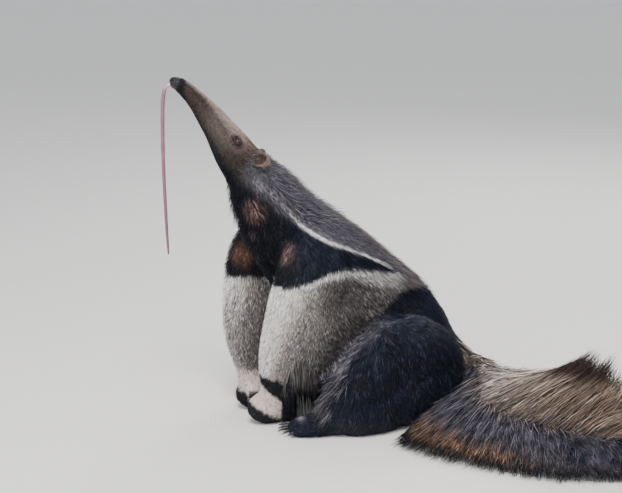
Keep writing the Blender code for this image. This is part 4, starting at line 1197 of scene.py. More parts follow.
def coat_piece(name, paths, widths, facing, maps, colours, pepper, rng, flat=0.55):
    """One mesh of blades. colours and pepper are given once for each blade, or at each of its steps."""
    count, steps = paths.shape[0], paths.shape[1] - 1
    colours = np.broadcast_to(colours, (count, steps + 1, 3))
    pepper = np.broadcast_to(pepper, (count, steps + 1))
    paths[..., 2] = np.maximum(paths[..., 2], PATH_GAP)
    verts = blade_points(paths, widths, facing, flat)
    size = verts.shape[1]
    faces = (blade_faces(steps)[None] + np.arange(count)[:, None, None] * size).reshape(-1, 3)
    verts[..., 2] = np.maximum(verts[..., 2], BLADE_GAP)
    mesh = bpy.data.meshes.new(name)
    mesh.vertices.add(count * size)
    mesh.loops.add(faces.size)
    mesh.polygons.add(len(faces))
    mesh.vertices.foreach_set("co", verts.astype(np.float32).ravel())
    mesh.loops.foreach_set("vertex_index", faces.astype(np.int32).ravel())
    mesh.polygons.foreach_set("loop_start", np.arange(0, faces.size, 3, dtype=np.int32))
    step_of = np.append(np.repeat(np.arange(steps), 3), steps)
    corner_of = np.append(np.tile(np.arange(3), steps), 1)
    spot = np.stack([corner_of / 2 - 0.5, step_of / steps - 0.5], 1) * PATCH
    uv = (maps[:, None] + spot[None]).reshape(-1, 2)
    layer = mesh.uv_layers.new(name="OFBake")
    layer.data.foreach_set("uv", uv[faces.ravel()].astype(np.float32).ravel())
    put_colours(mesh, "marking", colours[:, step_of].reshape(-1, 3))
    along = np.tile(step_of / steps, count)
    chance = np.repeat(rng.random(count), size)
    put_colours(mesh, "strand", np.stack([along, chance, pepper[:, step_of].ravel()], 1))
    mesh.update(calc_edges=True)
    mesh.shade_smooth()
    coat_pieces.append(add_object(name, mesh))
    print(name, count, "blades,", len(faces), "triangles")


# %% Lay short hair along the skin
ROOT_SINK = 0.0012
PEPPER_SHARE = np.array((0.95, 0.35, 0.85, 0.95, 0.40, 0.40, 0.40))  # for each part, as are the next two
DARK_HAIRS = np.array((0.14, 0.04, 0.14, 0.26, 0.00, 0.00, 0.00))
LIGHT_HAIRS = np.array((0.03, 0.00, 0.03, 0.03, 0.20, 0.20, 0.20))


def hug(spots, lifts):
    """Drops points onto the skin and lifts them off it again by the given heights."""
    found = np.empty_like(spots)
    for k, (place, lift) in enumerate(zip(spots.tolist(), lifts.tolist())):
        near, normal, _, _ = skin_tree.find_nearest(place)
        found[k] = (near.x + normal.x * lift, near.y + normal.y * lift, near.z + normal.z * lift)
    return found


def pepper_of(where):
    """How salt-and-pepper the hair is: most on flank and forelegs, less on back, head and haunches."""
    back = eased(where["trunk_up"], 0.1, 0.6)
    return where["weight"] @ PEPPER_SHARE * (1 - 0.60 * back)


ear_rim = np.zeros(len(points))
for side in (1, -1):
    middle, _, facing, _ = ear_frame(side)
    near_ear = np.linalg.norm(points - middle, axis=1) < EAR_SIZE * 1.6
    ear_rim = np.maximum(ear_rim, near_ear * eased((points - middle) @ facing / EAR_SIZE, -0.25, 0.10) * 2)


def speckled(colour, where, rng):
    """Some hairs break the marking: light ones on the haunches, dark ones on the pale legs and flank."""
    dark = (rng.random(len(colour)) < where["weight"] @ DARK_HAIRS) * eased(colour.mean(axis=1), 0.06, 0.20)
    colour = mixed(colour, PEPPER_DARK, dark * rng.uniform(0.4, 0.9, len(colour)))
    light = (rng.random(len(colour)) < where["weight"] @ LIGHT_HAIRS) * faded(colour.mean(axis=1), 0.03, 0.12)
    return mixed(colour, SPECKLE_AND_SHEEN, light * rng.uniform(0.10, 0.65, len(colour)))


def grow_coat(name, count, density, seed, steps=2, longer=1.0, wider=1.0, rise=1.0, from_skin=False):
    """Short hair that follows the skin. longer, wider and rise change its sizes."""
    rng = np.random.default_rng(seed)
    roots = Roots(count, density, rng)
    average = (roots.of(sizes) * (longer, wider, rise)).T
    guard = rng.random(count) < GUARD_SHARE
    length, width, stand = (size * rng.uniform(least, most, count) * np.where(guard, of_guard, 1)
                            for size, (least, most, of_guard) in zip(average, VARIETY))
    stray = unit(roots.flow + rng.normal(size=(count, 3)) * 0.13)
    way = unit(stray - roots.normal * dot(stray, roots.normal))
    gather = currents(roots.place, 0.016, seed + 1, 3) * (length * 0.16)[:, None]
    path = [roots.place - roots.normal * ROOT_SINK]
    for k in range(1, steps + 1):
        share = k / steps
        reach = roots.place + way * (length * share)[:, None] + gather * share
        path.append(hug(reach, stand * share**0.8))
    paths = np.stack(path, axis=1)
    where = roots.places()
    middle = (paths[:, 0] + paths[:, -1]) / 2
    colour = roots.of(marking) if from_skin else speckled(paint(middle, where), where, rng)
    pepper = pepper_of(where) * (1 - 0.60 * eased(colour.mean(axis=1), 0.35, 0.65))
    coat_piece(name, paths, width, roots.normal, roots.map, colour[:, None], pepper[:, None], rng)


PRESSED_FLAT = 0.003  # what lies lower than this grows no hair
weight = places["weight"]
own = np.eye(len(PARTS))[np.argmax(weight, axis=1)]  # 1 for the part that a point belongs to
outside = 1 - in_ear
left = (points[:, 0] > 0).astype(float)
hidden = (points[:, 2] < PRESSED_FLAT).astype(float)
open_skin = outside * (1 - hidden) * faded(np.maximum(bare, nose_tip), 0.35, 0.75)
face_fine = 1 + 1.6 * eased(places["head_share"], 0.2, 0.6)
grow_coat("coat_head", 15000, own[:, 1] * open_skin * face_fine, 101)
grow_coat("coat_trunk_left", 16000, own[:, 0] * left * open_skin, 102)
grow_coat("coat_trunk_right", 12500, own[:, 0] * (1 - left) * open_skin, 103)
low_leg = 1 + 1.5 * faded(points[:, 2], 0.06, 0.25)
grow_coat("coat_fore_left", 12000, own[:, 2] * open_skin * low_leg, 104)
grow_coat("coat_fore_right", 9500, own[:, 3] * open_skin * low_leg, 105, longer=1.15, rise=1.9)
hind_fine = 1 + 2.0 * faded(points[:, 1], -0.36, -0.28) * faded(points[:, 2], 0.06, 0.14)
grow_coat("coat_hind_left", 16500, own[:, 4] * open_skin * hind_fine, 106)
grow_coat("coat_hind_right", 12000, own[:, 5] * open_skin * hind_fine, 107)
grow_coat("coat_ears", 1500, in_ear * (0.5 + ear_rim), 109, from_skin=True)

# %% [markdown]
# ## Crest, nape and throat
# Along the spine the hair stands up in a mane, higher still on the nape and under the throat, and that
# is what gives the neck its full outline. These places get pieces of their own, with one more bend in
# the longer blades.

# %% Standing hair on spine, nape and throat
x, y, z = points.T
trunk_up, head_up = places["trunk_up"], places["head_up"]
spine = eased(trunk_up, 0.70, 0.93) * own[:, 0] * open_skin * between(z, 0.30, 0.36, 0.66, 0.70)
grow_coat("coat_crest", 2400, spine, 108, steps=3, longer=1.7, wider=0.9, rise=2.1)
nape = own[:, 1] * eased(head_up, 0.2, 0.7) * faded(places["head_share"], 0.02, 0.10)
nape = (own[:, 0] * eased(trunk_up, 0.2, 0.7) + nape) * open_skin * eased(z, 0.52, 0.60)
grow_coat("coat_nape", 2600, nape, 114, steps=3, longer=1.35, rise=3.2)
throat = own[:, 0] * eased(-trunk_up, 0.25, 0.75) * faded(np.abs(x), 0.05, 0.09)
throat = throat * open_skin * between(z, 0.44, 0.52, 0.66, 0.72)
grow_coat("coat_throat", 1200, throat, 115, longer=1.1, rise=2.6)

# %% [markdown]
# ## Hair that hangs free
# Flank, belly, shin and rump carry long hair that leaves the body and hangs. It closes the gap between
# the fore paw and the shin, so a fringe gets its own paths: first along the skin, then down. The ears'
# edges have a little of the same.

# %% Fringes of flank, belly, shin, rump and ears
FRINGE_GAP = 0.004  # between the floor and a fringe


def grow_fringe(name, count, density, seed, length, fall, way, hues,
                wide=(0.0009, 0.0019), stray=0.16, steps=3):
    """Free blades: way is where they set out for, fall how much of their length hangs down."""
    rng = np.random.default_rng(seed)
    roots = Roots(count, density, rng)
    reach = rng.uniform(*length, count)[:, None]
    start = unit(roots.flow * 0.5 + np.array(way) + rng.normal(size=(count, 3)) * stray + roots.normal * 0.2)
    gather = currents(roots.place, 0.03, seed + 1, 3) * 0.008
    path = []
    for k in range(steps + 1):
        share = k / steps
        down = np.array((0.0, 0.0, -1.0)) * fall * share**2
        out = (start * share * (1 - fall * share * 0.5) + down) * reach
        path.append(roots.place - roots.normal * 0.002 + out + gather * share)
        path[-1][:, 2] = np.maximum(path[-1][:, 2], FRINGE_GAP)
    pick = rng.random(count)
    colour = roots.of(marking)
    for limit, hue in hues:
        colour = mixed(colour, hue, (pick < limit) * 1.0)
    pepper = pepper_of(roots.places()) * 0.6
    width = rng.uniform(*wide, count)
    coat_piece(name, np.stack(path, axis=1), width, roots.normal, roots.map, colour[:, None],
               pepper[:, None], rng)


flank = own[:, 0] + own[:, 2] + own[:, 3]
wide_place, low_place = np.abs(x), faded(z, 0.12, 0.22) * (z > 0.07)
outer = low_place * between(y, -0.43, -0.38, -0.32, -0.26) * faded(y, -0.385, -0.345)
outer = outer * eased(wide_place, 0.08, 0.11) * flank
grow_fringe("coat_flank_fringe", 2100, outer, 110, (0.028, 0.060), 0.6, (0, -0.1, -0.7),
            ((0.35, PEPPER_DARK),), wide=(0.0008, 0.0016), stray=0.34)
inner = low_place * between(y, -0.43, -0.38, -0.28, -0.22) * between(wide_place, 0.01, 0.03, 0.085, 0.105)
inner = inner * (own[:, 0] + own[:, 4] + own[:, 5])
behind_leg = (own[:, 2] + own[:, 3]) * eased(normals[:, 1], 0.1, 0.5)
behind_leg = behind_leg * between(z, 0.075, 0.095, 0.14, 0.20)
inner = inner + behind_leg * 1.2
# The fringes under the belly and behind the fore paws are black to fill the gap there with painted shade.
shadow_black = ((2.0, BLACK),)
grow_fringe("coat_belly", 2500, inner, 111, (0.08, 0.17), 0.75, (0, 0.03, -0.9), shadow_black,
            wide=(0.0020, 0.0038))
under = inner * own[:, 0] * faded(wide_place, 0.055, 0.080)
grow_fringe("coat_belly_under", 260, under, 117, (0.10, 0.17), 0.8, (0, 0, -1), shadow_black,
            wide=(0.0050, 0.0085), steps=2)
shin = faded(np.abs(beside(HAUNCH_EDGE, y, z) + 0.014), 0.016, 0.024) * own[:, 4] * open_skin
shin = shin * between(z, 0.055, 0.085, 0.15, 0.20) * eased(x, 0.10, 0.14)
shin_hues = ((0.60, RIM_GREY * 0.7), (0.28, PEPPER_DARK * 0.8))
grow_fringe("coat_shin", 1000, shin, 116, (0.026, 0.056), 0.35, (0.05, -1.1, -0.25), shin_hues,
            wide=(0.0008, 0.0017), stray=0.30, steps=2)
rump = eased(y, 0.065, 0.10) * between(z, 0.06, 0.09, 0.15, 0.19) * between(x, -0.01, 0.05, 0.12, 0.16)
guard_hues = ((0.70, TAIL_TAN * 0.5), (0.40, TAIL_TAN * 0.9), (0.20, TAIL_BROWN))
grow_fringe("coat_rump", 1300, rump * outside, 112, (0.035, 0.075), 0.35, (0.10, 0.80, -0.45), guard_hues)
ear_edge = in_ear * (0.05 + ear_rim)
grow_fringe("coat_ear_tufts", 900, ear_edge, 113, (0.005, 0.011), 0.1, (0, 0, 0.1), (),
            wide=(0.0006, 0.0010))

# %% [markdown]
# ## The tail
# The tail is a great plume. Hair falls from its bony middle to the floor on the near side, and on the
# far side it streams back and curls up into a tuft. Every strand follows a curve from the middle to a
# row of named tips, which are those of the solids, and its colour depends on how far out it is.

# %% Curves of the plume
TIP_GAP = 0.003  # between the floor and the tips of the hair
PARTING = 0.52  # where the hair parts on the near slope of the core, from its ridge to its edge


def towards(first, second, share):
    return first + (second - first) * np.asarray(share)[..., None]


def bezier(a, b, c, d, t):
    """Points of cubic curves: one curve a row, at each of its own steps t."""
    t = t[..., None]
    u = 1 - t
    return a[:, None] * u**3 + b[:, None] * 3 * u * u * t + c[:, None] * 3 * u * t * t + d[:, None] * t**3


def tail_curve(side, share, lead, reach, low, rng):
    """The four control points of each strand: low is 1 for the top layer and less for those under it."""
    rows = sample(TAIL, share)
    centre, radius = rows[:, :3], rows[:, 3:4]
    ahead_row, behind_row = (sample(TAIL, np.clip(share + step, 0, 1))[:, :3] for step in (0.03, -0.03))
    along = unit(ahead_row - behind_row)
    tips = NEAR_TIPS if side == "near" else FAR_TIPS
    steep = 0.95 * between(share, 0.15, 0.45, 0.70, 0.92) if side == "far" else 0
    ahead = share + lead * (1 - steep)
    tip = sample(tips, np.minimum(ahead, 1))
    past = np.clip((ahead - 1) * 3, 0, 1)
    tip = towards(tip, np.array(END_TIP), past)
    tip = towards(centre, tip, reach)
    span = np.linalg.norm(tip - centre, axis=1)[:, None]
    up = np.array((0.0, 0.0, 1.0))
    ridge = centre + up * radius
    edge = centre + (sample(NEAR_TIPS, share) - centre) * CORE_REACH
    fuzzy = PARTING + rng.normal(size=len(share)) * 0.12
    parting = towards(ridge, edge, fuzzy * (1 - 0.6 * eased(share, 0.6, 1.0))) + up * 0.010
    if side == "near":
        root = parting - up * (0.030 * (1 - low))[:, None]
        bend = towards(root, tip, 0.40) + up * 0.026 * low[:, None] + along * 0.012
        late = towards(root, tip, 0.78) + up * 0.014 * low[:, None] + along * 0.010
    elif side == "far":
        root = parting - up * (0.035 * (1 - low))[:, None]
        arch = (0.036 * eased(share, 0.22, 0.50) - 0.006)[:, None] * low[:, None]
        bend = towards(root, tip, 0.34) + along * span * 0.17 + up * arch
        late = towards(root, tip, 0.76) + along * span * 0.11 - up * 0.016
    elif side == "back":
        away = unit((centre - sample(NEAR_TIPS, share)) * (1, 1, 0))
        tip = centre + away * (radius * 1.15 + 0.030 * reach[:, None]) + along * 0.075
        tip = tip * (1, 1, 0) + up * (0.006 + 0.02 * (1 - low[:, None]))
        root = ridge + away * radius * 0.35 - up * 0.008
        bend = towards(root, tip, 0.30) + away * 0.022 + up * 0.010
        late = towards(root, tip, 0.72) + away * 0.016
    else:
        tip = towards(tip, sample(NEAR_TIPS, np.minimum(ahead, 1)), 0.18)
        tip[:, 2] = np.maximum(tip[:, 2], 0.11 * (1.2 - share))
        root = parting
        bend = towards(root, tip, 0.40) + up * 0.036
        late = towards(root, tip, 0.78) + up * 0.012
    tip[:, 2] = np.maximum(tip[:, 2], TIP_GAP)
    return root, bend, late, tip, along


def paint_tail(side, share, out, chance, place, paths):
    """Colour at each step of each strand. share: along the tail, out: from the middle to the tips."""
    mottle = currents(paths.reshape(-1, 3), 0.030, 33)[:, 0]
    wide = np.repeat(share, out.shape[1])
    pick = np.repeat(chance, out.shape[1])
    patch = np.repeat(currents(place, 0.05, 31)[:, 0], out.shape[1])
    flat = out.ravel() + patch * 0.035
    if side == "near":
        colour = mixed(BLUE_BLACK, SLATE, 0.58 + 0.36 * mottle + 0.45 * (pick - 0.5))
        pale_root = faded(flat, 0.06, 0.26) * eased(wide, 0.15, 0.30) * (pick > 0.4)
        colour = mixed(colour, TAIL_TAN * 0.6, pale_root * 0.7)
        colour = colour * (0.62 + 0.38 * eased(wide, 0.10, 0.28))[:, None]
        colour = mixed(colour, BLUE_BLACK, eased(wide, 0.55, 0.90) * 0.45 + (pick < 0.3) * 0.45)
        start = 0.50 + 0.16 * (pick - 0.5) + 0.08 * eased(wide, 0.30, 0.60)
        band = eased(flat, start, start + 0.10) * eased(wide, 0.20, 0.30)
        band = band * (1 - 0.9 * eased(wide, 0.50, 0.70))
        colour = mixed(colour, TAIL_ORANGE, band * (0.82 + 0.30 * mottle - 0.9 * (pick < 0.20)))
        end = 0.71 + 0.12 * (pick - 0.5) + 0.03 * eased(wide, 0.2, 0.5)
        colour = mixed(colour, BLACK, eased(flat, end, end + 0.08))
    else:
        browner = 0.80 * eased(wide, 0.38, 0.68) - 0.15
        brown = (pick > 0.48) * 0.65 + 0.25 * mottle + browner
        light = mixed(TAIL_TAN, TAIL_BROWN, brown)
        light = mixed(light, TAIL_PALE, (pick < 0.34) * faded(wide, 0.28, 0.5) * 0.9)
        light = mixed(light, TUFT_BROWN, (pick > 0.84) * 0.8)
        root = eased(flat, 0.02, 0.24 + 0.14 * mottle - 0.10 * eased(-wide, -0.3, 0.0))
        colour = mixed((SLATE + light) * 0.36, light, root)
        dark = 0.84 - 0.41 * between(wide, 0.25, 0.42, 0.60, 0.78) + 0.12 * (pick - 0.5)
        colour = mixed(colour, TUFT_BROWN, eased(flat, dark, dark + 0.20) * eased(wide, 0.04, 0.16))
        colour = mixed(colour, TAIL_BROWN, eased(flat, 0.7, 1.0) * faded(wide, 0.05, 0.15) * 0.6)
        tail_root = faded(wide + 0.04 * patch, 0.02, 0.12) * (pick > 0.25)
        colour = mixed(colour, BLUE_BLACK, tail_root * 0.85)
    if side == "back":
        colour = mixed(colour, BLUE_BLACK, 0.55 + 0.35 * mottle + 0.3 * (pick > 0.5))
    return colour.reshape(*out.shape, 3)


def grow_tail(name, side, count, lead, reach, low, width, seed, first=0.02, steps=4):
    """One layer of the plume. lead: how far the tips are ahead of the roots, low: 1 for the top layer."""
    rng = np.random.default_rng(seed)
    share = first + rng.random(count) * (1.0 - first)
    jitter = rng.normal(size=count) * 0.030
    far = rng.uniform(*reach, count)
    depth = np.clip(low + rng.normal(size=count) * 0.12, 0.15, 1.15)
    root, bend, late, tip, along = tail_curve(side, share, lead + jitter, far, depth, rng)
    short = side == "near" and low > 0.9
    start = rng.uniform(0.0, 0.74 if short else 0.62, count) ** 1.15
    end = np.minimum(start + rng.uniform(*((0.20, 0.42) if short else (0.34, 0.62)), count), 1.0)
    end = np.where(rng.random(count) < 0.25, np.minimum(start + 0.62, 1.0), end)
    t = start[:, None] + (end - start)[:, None] * np.linspace(0, 1, steps + 1)
    paths = bezier(root, bend, late, tip, t)
    lift = np.linspace(0, 1, steps + 1) ** 1.3
    if side == "far":
        facing = unit(np.cross(tip - root, along))
        facing = facing * np.sign(-facing[:, 1:2] + 1e-6) * rng.choice((-1, 1), count, p=(0.4, 0.6))[:, None]
        puff = rng.uniform(0.000, 0.016, count)[:, None] * np.sin(math.pi * t**0.8)
        paths += facing[:, None] * puff[..., None]
    else:
        facing = unit(np.array((0, 0, 1.0)) + (tip - root) * (1.2, 1.2, 0))
        paths[..., 2] += lift * rng.uniform(0.000, 0.010, count)[:, None]
    paths += currents(root + tip, 0.05, seed + 3, 3)[:, None] * (0.007 * lift)[None, :, None]
    wander = currents(tip * 3 + root, 0.02, seed + 5, 3)
    paths += wander[:, None] * (0.009 * lift**2)[None, :, None]
    swing = 0.0055 if side == "far" else 0.0032
    sway = np.sin(t * 9 + rng.uniform(0, 6.3, count)[:, None]) * swing * (t - start[:, None] > 0)
    paths += along[:, None] * sway[..., None]
    chance = rng.random(count)
    colours = paint_tail(side, share, t * far[:, None], chance, tip, paths)
    maps = corner_maps[[skin_tree.find_nearest(point)[2] for point in root.tolist()]].mean(axis=1)
    pepper = np.full((count, 1), 0.75 if side == "near" else 0.35)
    width = width * rng.uniform(0.7, 1.25, count)
    coat_piece(name, paths, width, facing, maps, colours, pepper, rng, flat=0.5)


grow_tail("coat_tail_near", "near", 7000, 0.085, (0.93, 1.03), 1.0, 0.0028, 201, first=0.10)
grow_tail("coat_tail_near_under", "near", 2400, 0.095, (0.78, 0.99), 0.55, 0.0048, 202, first=0.10, steps=3)
grow_tail("coat_tail_far", "far", 7200, 0.175, (0.88, 1.05), 1.0, 0.0028, 203)
grow_tail("coat_tail_far_under", "far", 2600, 0.150, (0.70, 0.98), 0.5, 0.0046, 204, steps=3)
grow_tail("coat_tail_back", "back", 2800, 0.0, (0.6, 1.3), 0.9, 0.0044, 206, steps=3)
grow_tail("coat_tail_top", "top", 2000, 0.240, (0.45, 0.62), 1.0, 0.0040, 205, steps=3)
print("coat:", sum(len(piece.data.polygons) for piece in coat_pieces), "triangles")

# %% [markdown]
# ## Eyes, tongue and claws
# These are bare and smooth, so they are pieces of their own with finer shapes than their solids. Each
# stays where its solid is. A grid of points turned into faces serves for all three.

# %% A surface from rings of points
TOP, BOTTOM = math.pi / 2, 3 * math.pi / 2  # angles round a ring


def ring_mesh(name, rings, colours):
    """A closed tube through rings, given as an array of steps by sides by three."""
    steps, sides = rings.shape[:2]
    faces = []
    for k in range(steps - 1):
        for c in range(sides):
            n = (c + 1) % sides
            faces.append((k * sides + c, k * sides + n, (k + 1) * sides + n, (k + 1) * sides + c))
    faces.append(tuple(reversed(range(sides))))
    faces.append(tuple((steps - 1) * sides + c for c in range(sides)))
    mesh = bpy.data.meshes.new(name)
    mesh.from_pydata(rings.reshape(-1, 3).tolist(), [], faces)
    mesh.validate()
    put_colours(mesh, "marking", colours.reshape(-1, 3))
    mesh.shade_smooth()
    return add_object(name, mesh)


# %% Eyeballs
IRIS_BROWN = tone(46, 26, 18)
EYE_DARK = tone(16, 12, 12)


def eyeball(name, side):
    """A ball with a bulging cornea; iris and pupil are colours on it."""
    along, over, out = eye_axes(side)
    angle = np.linspace(0.02, math.pi - 0.02, 56)[:, None]
    spin = np.linspace(0, 2 * math.pi, 72, endpoint=False)[None]
    bulge = 0.055 * np.exp(-((angle / 0.62) ** 4))
    radius = (EYE_RADIUS - 0.0006) * (1 + bulge)
    shape = (np.cos(angle) * radius + 0 * spin)[..., None] * out
    shape = shape + (np.sin(angle) * np.cos(spin) * radius)[..., None] * along
    shape = shape + (np.sin(angle) * np.sin(spin) * radius)[..., None] * over
    streaks = 1 + 0.45 * np.sin(spin * 23 + 3 * np.sin(spin * 5)) * hill(angle, 0.5, 0.2)
    iris = between(angle, 0.26, 0.32, 0.64, 0.72)
    colour = EYE_DARK + (IRIS_BROWN - EYE_DARK) * (iris * streaks)[..., None]
    return ring_mesh(name, eye_place(side) + shape, colour)


eyes = [eyeball("eyeball_left", 1), eyeball("eyeball_right", -1)]
print("eyes:", [len(eye.data.vertices) for eye in eyes], "points")

# %% Tongue
TONGUE = (  # (x, y, z, radius): out of the mouth, over the lower lip and straight down
    (-0.0560, -0.6420, 0.8985, 0.0050),
    (-0.0635, -0.6660, 0.9060, 0.0056),
    (-0.0687, -0.6800, 0.9005, 0.0068),
    (-0.0718, -0.6858, 0.8790, 0.0074),
    (-0.0731, -0.6888, 0.8450, 0.0074),
    (-0.0736, -0.6905, 0.7700, 0.0070),
    (-0.0733, -0.6905, 0.6800, 0.0066),
    (-0.0722, -0.6890, 0.5950, 0.0062),
    (-0.0705, -0.6868, 0.5100, 0.0053),
    (-0.0690, -0.6845, 0.4530, 0.0032),
)
LILAC = tone(206, 142, 182)
MAUVE = tone(126, 82, 102)
MAUVE_DARK = tone(98, 62, 76)


def tongue_piece():
    """A limp strip, a little flat, with a groove along it and small waves where it hangs."""
    rows = smooth_rows(TONGUE, 24)
    centre, radius = rows[:, :3], rows[:, 3:4]
    drop = np.linspace(0, 1, len(rows))[:, None]
    wave = np.sin(drop * 31 + 0.7 * np.sin(drop * 13)) * 0.0007 * eased(drop, 0.15, 0.4)
    centre = centre + HEAD_LEFT * wave
    along = unit(np.gradient(centre, axis=0))
    across = unit(HEAD_LEFT - along * (along @ HEAD_LEFT)[:, None])
    deep = np.cross(along, across)
    angle = np.linspace(0, 2 * math.pi, 28, endpoint=False)
    groove = 1 - 0.20 * hill(angle, TOP, 0.30) - 0.12 * hill(angle, BOTTOM, 0.35)
    pulse = 1 + 0.03 * np.sin(drop * 95 + 2 * np.sin(drop * 23)) * eased(drop, 0.1, 0.3)
    tip = np.sqrt(np.clip((1 - drop) / 0.012, 0.0, 1.0)) * 0.97 + 0.03
    wide = radius * pulse * tip * 0.98
    rings = centre[:, None] + across[:, None] * (wide * np.cos(angle) * groove)[..., None]
    rings = rings + deep[:, None] * (wide * 0.80 * np.sin(angle) * groove)[..., None]
    flat = mixed(LILAC, MAUVE, eased(drop[:, 0], 0.10, 0.34))
    flat = mixed(flat, MAUVE_DARK, eased(drop[:, 0], 0.5, 1.0) * 0.6)
    flat = flat * (1 + 0.06 * currents(centre, 0.05, 41))
    colour = flat[:, None] * (1 - 0.30 * hill(angle, TOP, 0.4))[None, :, None]
    return ring_mesh("tongue_strip", rings, colour)


tongue = tongue_piece()
print("tongue:", len(tongue.data.vertices), "points")

# %% Claws
CLAW_STEPS = 26
CLAW_SIDES = 16
CLAW_RIDGES = 2.3  # how fast the ridges follow each other
HORN = tone(34, 30, 30)
HORN_TIP = tone(52, 46, 43)


def horn(name, root, along, bend, length, radius):
    """A claw: tall and narrow, ridged across, with a keel on top and a groove underneath."""
    place, rings = np.array(root, float), []
    angle = np.linspace(0, 2 * math.pi, CLAW_SIDES, endpoint=False)
    for k in range(CLAW_STEPS):
        share = k / CLAW_STEPS
        way = unit(np.array(along) * (1 - share) + np.array(bend) * share)
        across = unit(np.cross(way, (0.0, 0.0, 1.0)))
        top = np.cross(across, way)
        size = radius * (1 - share) ** 0.62 * (1 + 0.035 * math.sin(k * CLAW_RIDGES))
        shape = 1 + 0.12 * hill(angle, TOP, 0.35) - 0.30 * hill(angle, BOTTOM, 0.45)
        ring = place + np.outer(np.cos(angle) * shape * size * 0.74, across)
        rings.append(ring + np.outer(np.sin(angle) * shape * size, top))
        place = place + way * length / CLAW_STEPS
    share = np.linspace(0, 1, CLAW_STEPS)[:, None, None]
    stripes = 1 + 0.18 * np.sin(np.arange(CLAW_STEPS) * CLAW_RIDGES)[:, None, None]
    colour = (HORN + (HORN_TIP - HORN) * share**1.6 * 0.8) * stripes * np.ones((1, CLAW_SIDES, 1))
    return ring_mesh(name, np.stack(rings), colour)


FORE_CLAWS = (  # (number, length, how far ahead of the paw's middle, height)
    (2, 0.046, 0.034, 0.052),
    (3, 0.064, 0.040, 0.036),
    (4, 0.040, 0.034, 0.021),
)
FORE_CLAW_RADIUS = 0.0072
HIND_CLAW = (0.034, 0.0062)  # length and radius
claws = {}
for side, sign, paw in (("left", 1, PAW_LEFT), ("right", -1, PAW_RIGHT)):
    inner_side = paw[0] - sign * PAW_SIZE[0] * 0.76
    for number, length, ahead, height in FORE_CLAWS:
        label = f"fore_{side}_{number}"
        root = (inner_side, paw[1] - ahead, height)
        claws["claw_" + label] = horn("horn_" + label, root, (-sign * 0.5, 0.85, 0.05),
                                      (sign * 0.40, 0.95, 0.12), length, FORE_CLAW_RADIUS)
    toe = HINDFOOT[-1]
    for number in range(5):
        label = f"hind_{side}_{number + 1}"
        spread = (number - 2) / 2
        root = (sign * (toe[0] + spread * 0.030), toe[1] + 0.004 + abs(spread) * 0.014, 0.016)
        claws["claw_" + label] = horn("horn_" + label, root, (sign * spread * 0.25, -1, 0.15),
                                      (sign * spread * 0.25, -0.85, -0.4), *HIND_CLAW)
print("claws:", len(claws))

# %% [markdown]
# ## Effects that several materials share
# Hair, skin and claws all vary a little from place to place. Each such effect is built once, as a node
# group with named inputs, and every material sets its own values on it.

# %% Helpers for node groups
NUMBER, COLOUR = "NodeSocketFloat", "NodeSocketColor"


def new_group(name, inputs, outputs):
    """An empty group with its sockets: each is (name, kind, default)."""
    group = bpy.data.node_groups.new(name, "ShaderNodeTree")
    for label, kind, value in inputs:
        socket = group.interface.new_socket(name=label, in_out="INPUT", socket_type=kind)
        if value is not None:
            socket.default_value = value
    for label, kind, _ in outputs:
        group.interface.new_socket(name=label, in_out="OUTPUT", socket_type=kind)
    return group, group.nodes.new("NodeGroupInput"), group.nodes.new("NodeGroupOutput")


def math_node(tree, operation, first, second=None, third=None):
    node = tree.nodes.new("ShaderNodeMath")
    node.operation = operation
    for socket, value in zip(node.inputs, (first, second, third)):
        connect(tree, value, socket)
    return node.outputs[0]


def connect(tree, value, socket):
    """Links an output, or sets a plain number or colour."""
    if value is None:
        return
    if isinstance(value, bpy.types.NodeSocket):
        tree.links.new(value, socket)
    else:
        socket.default_value = value


def ranged(tree, value, low, high, new_low=0.0, new_high=1.0):
    """A number carried from one range into another."""
    node = tree.nodes.new("ShaderNodeMapRange")
    node.interpolation_type = "SMOOTHSTEP"
    connect(tree, value, node.inputs["Value"])
    for label, number in (("From Min", low), ("From Max", high), ("To Min", new_low), ("To Max", new_high)):
        connect(tree, number, node.inputs[label])
    return node.outputs["Result"]


def noise_node(tree, scale, detail):
    """Noise through the object's own space."""
    node = tree.nodes.new("ShaderNodeTexNoise")
    tree.links.new(tree.nodes.new("ShaderNodeTexCoord").outputs["Object"], node.inputs["Vector"])
    connect(tree, scale, node.inputs["Scale"])
    node.inputs["Detail"].default_value = detail
    node.inputs["Roughness"].default_value = 0.55
    return node.outputs["Fac"]


def mixed_value(tree, first, second, share):
    """A number between two others."""
    node = tree.nodes.new("ShaderNodeMix")
    connect(tree, share, node.inputs["Factor"])
    connect(tree, first, node.inputs["A"])
    connect(tree, second, node.inputs["B"])
    return node.outputs["Result"]


def add_bump(tree, shader, height, strength, distance):
    """Relief on a surface."""
    bump = tree.nodes.new("ShaderNodeBump")
    bump.inputs["Strength"].default_value = strength
    bump.inputs["Distance"].default_value = distance
    tree.links.new(height, bump.inputs["Height"])
    tree.links.new(bump.outputs["Normal"], shader.inputs["Normal"])


def scaled_colour(tree, colour, amount):
    """A colour made brighter or darker by a number."""
    node = tree.nodes.new("ShaderNodeVectorMath")
    node.operation = "SCALE"
    tree.links.new(colour, node.inputs[0])
    connect(tree, amount, node.inputs["Scale"])
    return node.outputs["Vector"]


# %% [markdown]
# ### Hair tone
# One hair is darker at its root and often banded, pale between two dark parts: seen together, such
# hairs look salt-and-pepper. The group takes the marking's colour and the strand's own values.

